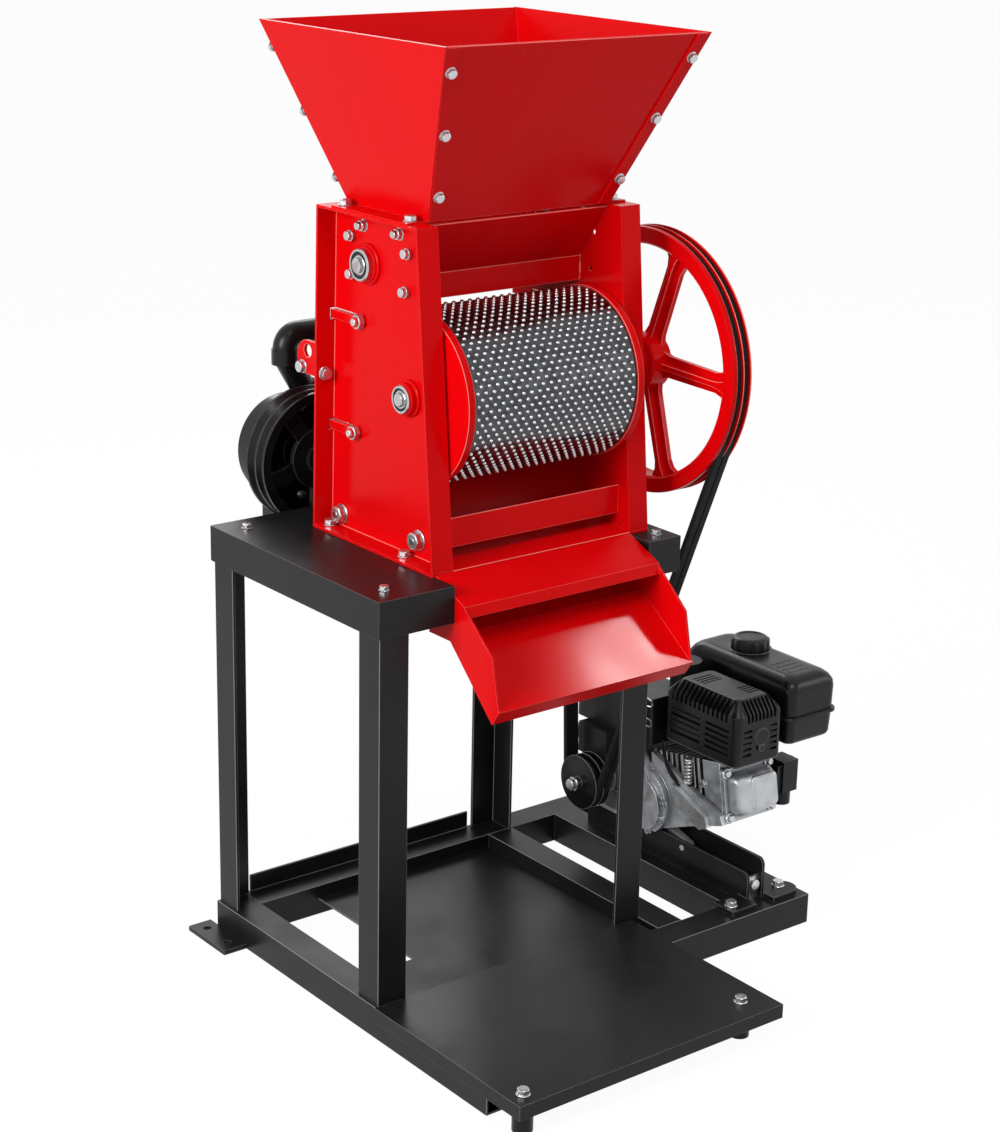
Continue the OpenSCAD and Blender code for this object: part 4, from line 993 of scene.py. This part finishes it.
@dataclass
class FeedDrive(Assembly):
    """Feed roller, its chain and the two sprockets."""

    sprockets: tuple[Sprocket, ...] = (Sprocket("drum_sprocket", DRUM_AXIS, 30.0, 15.0, 23.0, 16),
                                       Sprocket("feed_sprocket", FEED_AXIS, 42.0, 11.0, 20.0, 23))
    # Heights over the root, once round a tooth and its gap.
    tooth: tuple[float, ...] = (0.3, 0.0, 0.3, 4.5, 7.0, 4.5)
    x: float = 517.0
    width: float = 7.0
    # Faces of the teeth, from x.
    face: Pair = (1.0, 5.5)
    pitch: float = 12.7
    # Height of the chain's line over a sprocket's root.
    seat: float = 4.4
    plate_r: float = 5.0
    plate: float = 1.2
    pin_over: float = 0.9

    def build(self) -> None:
        """Builds sprockets and chain and dresses the roller."""
        self.model.dress("feed_roller", GROUND, None, 0.6)
        for sprocket in self.sprockets:
            count = sprocket.teeth * len(self.tooth)
            angles = [2 * pi * i / count for i in range(count)]
            outer = [sprocket.root + self.tooth[i % len(self.tooth)] for i in range(count)]
            rings = []
            inner = [sprocket.bore] * count
            left, right = self.face
            for radii, x in ((inner, left), (outer, left), (outer, right), (inner, right)):
                rings.append([Vector((self.x + x, sprocket.at[0] + r * cos(a), sprocket.at[1] + r * sin(a)))
                              for r, a in zip(radii, angles)])
            shape = Shape().rings(rings, 0, True)
            shape.tube(Axis.X, sprocket.at, (self.x - 1, self.x + self.width + 3), sprocket.hub, sprocket.bore)
            self.model.place(shape.build(f"{sprocket.node}_toothed", [GROUND], 0.3), sprocket.node)
        self.model.place(self.chain(), "feed_chain")

    def pins(self) -> tuple[list[Pair], float]:
        """Spaces the chain's pins evenly along its line round both sprockets.

        Returns:
            Each pin's place in the chain's plane, and the space between pins.
        """
        (y0, z0), (y1, z1) = (s.at for s in self.sprockets)
        a, b = (s.root + self.seat for s in self.sprockets)
        base = atan2(z1 - z0, y1 - y0)
        k = acos((a - b) / hypot(y1 - y0, z1 - z0))
        path = []
        for y, z, r, start, sweep in ((y0, z0, a, base + k, 2 * pi - 2 * k), (y1, z1, b, base - k, 2 * k)):
            path += [(y + r * cos(w), z + r * sin(w)) for w in (start + t * sweep / 40 for t in range(41))]
        path.append(path[0])
        steps = [dist(p, q) for p, q in zip(path, path[1:])]
        count = 2 * round(sum(steps) / self.pitch / 2)
        gap = sum(steps) / count
        pins, i, done = [], 0, 0.0
        for n in range(count):
            while done + steps[i] < n * gap:
                done += steps[i]
                i += 1
            t = (n * gap - done) / steps[i]
            (y, z), (to_y, to_z) = path[i:i + 2]
            pins.append((y + t * (to_y - y), z + t * (to_z - z)))
        return pins, gap

    def chain(self) -> Piece:
        """Lays the roller chain: outer plates on every other pair of pins, inner plates and rollers between.

        Returns:
            The finished chain.
        """
        pins, gap = self.pins()
        pieces = []
        for start, half, pin_r in ((0, 4.2, 2.0), (1, 2.9, 3.6)):
            link = Shape(at_origin=True)
            outline = [(c + self.plate_r * cos(w), self.plate_r * sin(w))
                       for c, first in ((gap / 2, -90), (-gap / 2, 90))
                       for w in (radians(first + s * 30) for s in range(7))]
            for middle in (-half, half):
                link.drawn(Axis.X, outline, (middle - self.plate / 2, middle + self.plate / 2))
            for c in (-gap / 2, gap / 2):
                link.bar(Axis.X, (c, 0), (-half - self.pin_over, half + self.pin_over), pin_r, sides=10)
            x, spots, turns = self.x + sum(self.face) / 2, [], []
            for n in range(start, len(pins), 2):
                (y, z), (to_y, to_z) = pins[n], pins[(n + 1) % len(pins)]
                spots.append(((x, (y + to_y) / 2, (z + to_z) / 2), UP))
                turns.append((atan2(to_z - z, to_y - y), 0.0, 0.0))
            template = link.build(f"template_link_{start}", [GROUND])
            pieces.append(scattered(f"chain_links_{start}", template, spots, 1.0, GROUND, turns))
        return joined("roller_chain", pieces)


@dataclass
class Pump(Assembly):
    """Pulley-driven water pump behind the table."""

    x: float = 218.0
    z: float = 735.0
    case: Pair = (523.0, 575.0)
    bolt_circle: float = 72.0
    bolt_r: float = 3.5

    def build(self) -> None:
        """Dresses the pump and adds the cover's bolts."""
        self.model.dress("pump_body", IRON, IRON_EDGE_WEAR_AND_HIGHLIGHT, 3.0, 3)
        self.model.dress("pump_pulley", IRON, IRON_EDGE_WEAR_AND_HIGHLIGHT, 1.2)
        self.model.dress("outlet_elbow", IRON, IRON_EDGE_WEAR_AND_HIGHLIGHT, 0.8)
        r = self.bolt_circle
        spots = [((self.x + r * cos(a), y, self.z + r * sin(a)), side)
                 for y, side in zip(self.case, (FRONT, BACK)) for a in (radians(30 + 60 * i) for i in range(6))]
        self.model.place(fastened("pump_cover_bolts", spots, self.bolt_r), "pump_body", stands_for=False)


@dataclass
class Engine(Assembly):
    """Small horizontal-shaft petrol engine on its rails."""

    tilt: float = 10.0
    # Ranges in x, y and z of the muffler's guard and of the tank, and where the cap's axis stands.
    guard: tuple[Pair, ...] = ((669, 770), (-25, 144), (268, 376))
    tank: tuple[Pair, ...] = ((784, 890), (-25, 225), (280, 392))
    cap: Pair = (844.0, 133.0)
    cover_bolt_r: float = 3.2
    lug_bolt_r: float = 3.4
    louvre: float = 4.8
    slot: float = 4.5
    slot_pitch: float = 10.0
    top_slot: float = 3.5
    top_pitch: float = 8.0

    def build(self) -> None:
        """Builds each part of the engine."""
        for node, finish, edge, bevel, steps in (
                ("crankcase", CAST, CAST_EDGE_WEAR_AND_HIGHLIGHT, 2.0, 3), ("side_cover", CAST, CAST_EDGE_WEAR_AND_HIGHLIGHT, 3.0, 4),
                ("cylinder", CAST, CAST_EDGE_WEAR_AND_HIGHLIGHT, 0.8, 2), ("recoil_cover", STOVED, STOVED_EDGE, 3.0, 3),
                ("recoil_handle", MOULDED, MOULDED_EDGE_WEAR_AND_HIGHLIGHT, 3.0, 3), ("air_cleaner", MOULDED, MOULDED_EDGE_WEAR_AND_HIGHLIGHT, 3.0, 3),
                ("carburettor", IRON, IRON_EDGE_WEAR_AND_HIGHLIGHT, 1.5, 2), ("throttle_lever", ZINC, None, 0.6, 2),
                ("choke_lever", ZINC, None, 0.6, 2), ("stop_switch", RED_PLASTIC, None, 1.0, 2)):
            self.model.dress(node, finish, edge, bevel, steps)
        self.cover_bolts()
        self.small_parts()
        self.starter_rope()
        for made, node in ((self.guard_box, "muffler"), (self.fuel_tank, "fuel_tank"), (self.fuel_cap, "fuel_cap"),
                           (self.valve_cover, "valve_cover")):
            self.model.place(made(), node)

    def cover_bolts(self) -> None:
        """Sets the flanged bolts round the side cover."""
        spots = [((676, 66, 167), LEFT)]
        for x, y, z, r, angles in ((660, 250, 171, 74, (-60, -20, 30, 70, 110, 150)),
                                   (664, 182, 147, 51, (160, 200, 250, 300))):
            spots += [((x, y + r * cos(a), z + r * sin(a)), LEFT) for a in map(radians, angles)]
        self.model.place(fastened("cover_bolts", spots, self.cover_bolt_r), "side_cover", stands_for=False)

    def small_parts(self) -> None:
        """Adds the governor spring, the drain lug, the cleaner's clips and two fuel hoses."""
        shape = Shape()
        (x, y), foot, rise, radius, turns, steps = (680, 93), 207, 36, 6.2, 6, 14
        coil = [(x + radius * cos(a), y + radius * sin(a), foot + rise * a / (2 * turns * pi))
                for a in (2 * pi * i / steps for i in range(turns * steps + 1))]
        shape.piped(coil, 1.5, sides=8)
        for z in (foot - 3, foot + rise):
            shape.bar(Axis.Z, (x, y), (z, z + 4), 7.5, chamfer=0.8)
        shape.drawn(Axis.X, [(196, 116), (150, 112), (104, 99), (90, 92), (90, 82), (100, 78), (112, 84), (160, 101),
                             (196, 101)], (685, 699))
        shape.bar(Axis.X, (98, 88), (684, 700), 9, chamfer=1)
        shape.drawn(Axis.X, [(118, 197), (100, 192), (62, 176), (36, 166), (30, 150), (48, 141), (84, 150), (108, 168)],
                    (667, 678), 1)
        shape.turned(Axis.X, (250, 171), [(64, 661), (64, 657.5), (61.5, 656), (30, 656), (29, 656.8), (4, 656.8)], 2)
        parts = shape.build("governor_spring_and_lug", [CAST, CAST_EDGE_WEAR_AND_HIGHLIGHT, CAST_FACE], 0.5, CAST_EDGE_WEAR_AND_HIGHLIGHT)
        self.model.place(parts, "side_cover", stands_for=False)
        bolts = [((684, 98, 88), LEFT), ((672, 46, 222), LEFT), ((664, 130, 157), LEFT)]
        self.model.place(fastened("lug_bolts", bolts, self.lug_bolt_r), "side_cover", stands_for=False)
        shape = Shape()
        for z in (326, 292):
            shape.piped([(656, 196, z + 6), (652.5, 190, z + 7), (652, 168, z + 8), (652, 158, z + 6), (652, 155, z),
                         (652, 158, z - 5), (652, 168, z - 6), (652.5, 190, z - 5), (656, 196, z - 4)], 1.3, sides=8)
        self.model.place(shape.build("cleaner_clips", [ZINC]), "air_cleaner", stands_for=False)
        shape = Shape()
        for k in range(2):
            shape.piped([(672 + 3 * k, 150 - 6 * k, 262 - 4 * k), (671, 146 - 5 * k, 246), (672, 138, 228 - 5 * k),
                         (674, 126, 212 - 6 * k), (676, 112 - 4 * k, 200 - 5 * k)], 2.2, sides=10)
        self.model.place(shape.build("fuel_hoses", [RUBBER]), "air_cleaner", stands_for=False)

    def starter_rope(self) -> None:
        """Adds the starter's rope, drawn out of its cover by the handle."""
        low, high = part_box("recoil_handle")
        spot = Vector(((low.x + high.x) / 2, (low.y + high.y) / 2, low.z))
        x, y, z = (spot - Shape.origin) / MM
        rope = Shape().turned(Axis.Z, (x, y), [(2.1, z - 9 + i) for i in range(19)], sides=16)
        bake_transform(rope.build("starter_rope", [RUBBER]))
        LOG.info("starter_rope between frame and starter_handle")

    def guard_box(self) -> Piece:
        """Builds the muffler's guard: a pressed box with slots, louvres and a rolled top.

        Returns:
            The finished guard.
        """
        (x0, x1), (y0, y1), (z0, z1) = self.guard
        layers = [(z0, 3, 9), (z0 + 3, 0, 11), (z1 - 25, 0, 12), (z1 - 21, 1.2, 12), (z1 - 3.5, 15, 11),
                  (z1 - 0.8, 18.5, 10), (z1, 22, 9)]
        shape = Shape().lofted(layers, *self.guard[:2])
        shape.bar(Axis.Z, (719, 31), (259, z0 + 1), 14)
        box = shape.build("guard_box", [STOVED], 1.2, STOVED_EDGE, 2, 40)
        cuts = Shape()
        # Louvres over the top edge, then long slots in the left and front faces, then two sets of slots on top.
        slant = ((-2, -34), (5, -34), (7, -22), (19, -8), (17, 2), (-2, 2))
        for axis, side, first, run, count in ((Axis.Y, x0, y0 + 25, y1 - y0 - 43, 13),
                                              (Axis.X, y0, x0 + 25, x1 - x0 - 44, 8)):
            for mid in (first + i * run / (count - 1) for i in range(count)):
                cuts.drawn(axis, [(side + u, z1 + v) for u, v in slant],
                           (mid - self.louvre / 2, mid + self.louvre / 2))
        for low in (z0 + 18 + k * self.slot_pitch for k in range(5)):
            for y in ((y0 + 18, y0 + 72), (y0 + 84, y1 - 16)):
                cuts.block((x0 - 2, x0 + 4), y, (low, low + self.slot))
            for x in ((x0 + 16, x0 + 34), (x0 + 74, x1 - 12)):
                cuts.block(x, (y0 - 2, y0 + 4), (low, low + self.slot))
        for k in range(4):
            for x, first in (((x0 + 26, x0 + 66), y1 - 62), ((x0 + 56, x0 + 82), y0 + 36)):
                low = first + k * self.top_pitch
                cuts.block(x, (low, low + self.top_slot), (z1 - 2, z1 + 2))
        cutter = cuts.build("guard_slots", [MOULDED])
        slots = box.modifiers.new("slots", "BOOLEAN")
        slots.operation = "DIFFERENCE"
        slots.solver = "EXACT"
        slots.object = cutter
        evened(applied(box))
        bpy.data.objects.remove(cutter)
        extra = Shape()
        extra.bar(Axis.Y, (x0 + 54, z0 + 46), (y0 - 3, y0 + 2), 16, chamfer=2)
        extra.bar(Axis.Y, (x0 + 54, z0 + 28), (y0 - 4, y0 + 2), 7, 1, chamfer=1)
        rest = extra.build("guard_boss", [STOVED, MOULDED], 0.6, STOVED_EDGE)
        return joined("muffler_guard", [box, rest])

    def fuel_tank(self) -> Piece:
        """Builds the pressed tank: two halves, the seam's lip, ribs and neck.

        Returns:
            The finished tank.
        """
        (x0, x1), (y0, y1), (z0, z1) = self.tank
        seam = z0 + 43
        low = [(z0, 9, 12), (z0 + 3, 5, 14), (z0 + 8, 3, 15), (seam, 1, 16)]
        top = [(seam, 1, 16), (z1 - 26, 0, 16), (z1 - 16, 1.5, 16), (z1 - 8, 6, 17), (z1 - 3, 12, 18),
               (z1 - 0.6, 19, 18), (z1, 26, 18)]
        shape = Shape()
        lip = [(seam - 1, -3, 18), (seam, -4, 19), (seam + 4, -4, 19), (seam + 5, -3, 18)]
        for layers in (low, top, lip):
            shape.lofted(layers, *self.tank[:2], 8)
        for y in (y0 + 34 + 14 * k for k in range(4)):
            shape.lofted([(z1 - 1, 0, 2.9), (z1 + 1.2, 1, 1.9)], (x0 + 30, x1 - 30), (y, y + 6), 4)
        shape.turned(Axis.Z, self.cap, [(36, z1 - 2), (36, z1 + 0.6), (33, z1 + 1.4), (24, z1 + 1.6), (20, z1 + 3),
                                        (20, z1 + 5)])
        shape.block((805, 855), (205, 225), (263.2, z0 + 6))
        shape.block((784, 792), (29, 55), (258.5, z0 + 2))
        return shape.build("pressed_fuel_tank", [STOVED], 0.8, STOVED_EDGE, 2, 48)

    def fuel_cap(self) -> Piece:
        """Builds the fluted cap.

        Returns:
            The finished cap.
        """
        z = self.tank[2][1]
        shape = Shape()
        shape.turned(Axis.Z, self.cap, [(20.3, z + 0.5), (30, z + 0.5), (31.5, z + 2), (31.5, z + 14),
                                        (29.5, z + 17.5)], 0, False, 96, 12, 1.4)
        shape.turned(Axis.Z, self.cap, [(29.6, z + 14), (29, z + 18), (26.5, z + 20.2), (22, z + 21),
                                        (20.5, z + 19.4)], 0, False, 96)
        return shape.build("fluted_fuel_cap", [MOULDED], 0.4)

    def valve_cover(self) -> Piece:
        """Builds the valve cover with its flange, step and corner bolts.

        Returns:
            The finished cover.
        """
        width = 104.0
        shape = Shape().lofted([(0, 0, 10), (8, 0, 10)], (0, width), (-46, 40))
        shape.lofted([(6, 0, 12), (20, 1, 13), (28, 4, 14), (33, 9, 14), (36, 16, 14)], (7, width - 7), (-39, 33))
        shape.lofted([(30, 0, 8), (36.5, 1, 8), (39, 4, 8)], (34, width - 14), (-30, 26))
        for u, v in ((6, -40), (width - 6, -40), (6, 34), (width - 6, 34)):
            shape.bar(Axis.Z, (u, v), (0, 11), 9, chamfer=1)
            shape.bar(Axis.Z, (u, v), (9, 16), 5.5, 1, 6)
        lay = Matrix(((1, 0, 0, 0), (0, 0, -1, 0), (0, 1, 0, 0), (0, 0, 0, 1)))
        spot = Matrix.Translation((688, *CRANK_AXIS)) @ Matrix.Rotation(radians(-self.tilt), 4, "X")
        shape.move(spot @ Matrix.Translation((0, -254, 0)) @ lay)
        return shape.build("valve_cover_cast", [CAST, ZINC], 0.8, CAST_EDGE_WEAR_AND_HIGHLIGHT, 2, 40)


@dataclass(frozen=True)
class Lamp:
    """A square area lamp, with its places and side in metres, its power in watts and its spread in degrees."""

    name: str
    place: Point
    aim: Point
    side: float
    power: float
    spread: float = 180.0
    diffuse: bool = True


@dataclass(frozen=True)
class Studio:
    """White floor and world, soft lamps and the camera at the photograph's place."""

    lamps: tuple[Lamp, ...] = (
        Lamp("key", (-3.4, -0.3, 2.0), (0.3, 0.1, 0.6), 1.5, 104.0),
        Lamp("top", (-0.6, -1.6, 3.4), (0.3, 0.1, 0.6), 1.2, 30.0),
        Lamp("right", (2.8, -1.9, 1.4), (0.4, 0.1, 0.5), 1.0, 16.0),
        Lamp("back", (1.2, 2.8, 2.6), (0.3, 0.1, 0.7), 1.4, 26.0),
        Lamp("window", (0.821, -0.2825, 1.546), (0.003, -0.1795, 0.541), 0.17, 0.05, 9.0, False))
    fill: float = 0.34
    floor_grey: float = 0.6
    floor_glow: float = 1.06
    floor_white: float = 0.9
    azimuth: float = -38.3
    elevation: float = 17.9
    roll: float = 1.2
    camera: Point = (-1783.3, -2522.7, 1723.4)
    lens: float = 85.92

    def build(self) -> None:
        """Adds floor, lamps, world and camera."""
        self.floor()
        self.world()
        for lamp in self.lamps:
            light = bpy.data.lights.new(f"{lamp.name}_lamp", "AREA")
            light.energy, light.size, light.spread = lamp.power, lamp.side, radians(lamp.spread)
            holder = linked(f"{lamp.name}_lamp", light)
            holder.location = Vector(lamp.place)
            holder.rotation_euler = (Vector(lamp.aim) - Vector(lamp.place)).to_track_quat("-Z", "Y").to_euler()
            holder.visible_diffuse = lamp.diffuse
        self.view()

    def view(self) -> None:
        """Sets the camera."""
        az, el, roll = (radians(v) for v in (self.azimuth, self.elevation, self.roll))
        back = Vector((sin(az) * cos(el), -cos(az) * cos(el), sin(el)))
        right = Vector((cos(az), sin(az), 0.0))
        up = back.cross(right)
        across = right * cos(roll) + up * sin(roll)
        above = up * cos(roll) - right * sin(roll)
        data = bpy.data.cameras.new("camera")
        data.lens, data.sensor_width, data.sensor_fit = self.lens, 36.0, "HORIZONTAL"
        data.clip_end = 60.0
        holder = linked("camera", data)
        turn = Matrix((across, above, back)).transposed().to_4x4()
        holder.matrix_world = Matrix.Translation(Vector(self.camera) * MM + Shape.origin) @ turn
        bpy.context.scene.camera = holder

    @staticmethod
    def seen(tree: bpy.types.NodeTree) -> bpy.types.NodeSocket:
        """Tells the rays by which the camera sees a surface: straight, mirrored or through glass.

        Args:
            tree: The node tree of a material or a world.

        Returns:
            A socket that is 1 for such a ray.
        """
        rays = add_node(tree, "ShaderNodeLightPath").outputs
        total = rays["Is Camera Ray"]
        for ray in ("Is Glossy Ray", "Is Transmission Ray"):
            total = add_node(tree, "ShaderNodeMath", {0: total, 1: rays[ray]}, operation="MAXIMUM").outputs[0]
        return total

    def floor(self) -> None:
        """Adds the pale floor, white to the camera but for the part's shadow."""
        floor = Shape().block((-50000, 50000), (-50000, 50000), (-20, -0.2)).build("floor", [])
        material = bpy.data.materials.new("studio_floor")
        tree = cleared(material)
        matt = add_node(tree, "ShaderNodeBsdfDiffuse", {"Color": (*[self.floor_grey] * 3, 1)})
        glow = add_node(tree, "ShaderNodeEmission", {"Color": WHITE, "Strength": self.floor_glow})
        half = add_node(tree, "ShaderNodeMixShader", {0: self.floor_white, 1: matt, 2: glow})
        mixed = add_node(tree, "ShaderNodeMixShader", {0: self.seen(tree), 1: matt, 2: half})
        add_node(tree, "ShaderNodeOutputMaterial", {"Surface": mixed})
        floor.data.materials.append(material)

    def world(self) -> None:
        """Sets a white world for the camera and gloss, and a softer one for light."""
        world = bpy.data.worlds.new("studio")
        tree = cleared(world)
        soft = add_node(tree, "ShaderNodeBackground", {"Color": WHITE, "Strength": self.fill})
        white = add_node(tree, "ShaderNodeBackground", {"Color": WHITE, "Strength": 1.0})
        mixed = add_node(tree, "ShaderNodeMixShader", {0: self.seen(tree), 1: soft, 2: white})
        add_node(tree, "ShaderNodeOutputWorld", {"Surface": mixed})
        bpy.context.scene.world = world


def main() -> None:
    """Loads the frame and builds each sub-assembly."""
    logging.basicConfig(level=logging.INFO, format="%(message)s")
    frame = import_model()
    low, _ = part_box("table_top")
    Shape.origin = Vector((low.x, low.y, 0.0))
    model = Model.from_record(frame["record"])
    for assembly in (Stand, Head, Hopper, Drum, Wheel, FeedDrive, Pump, Engine):
        assembly(model).build()
    Studio().build()
    bpy.context.scene.view_settings.view_transform = "Standard"


if __name__ == "__main__":
    main()
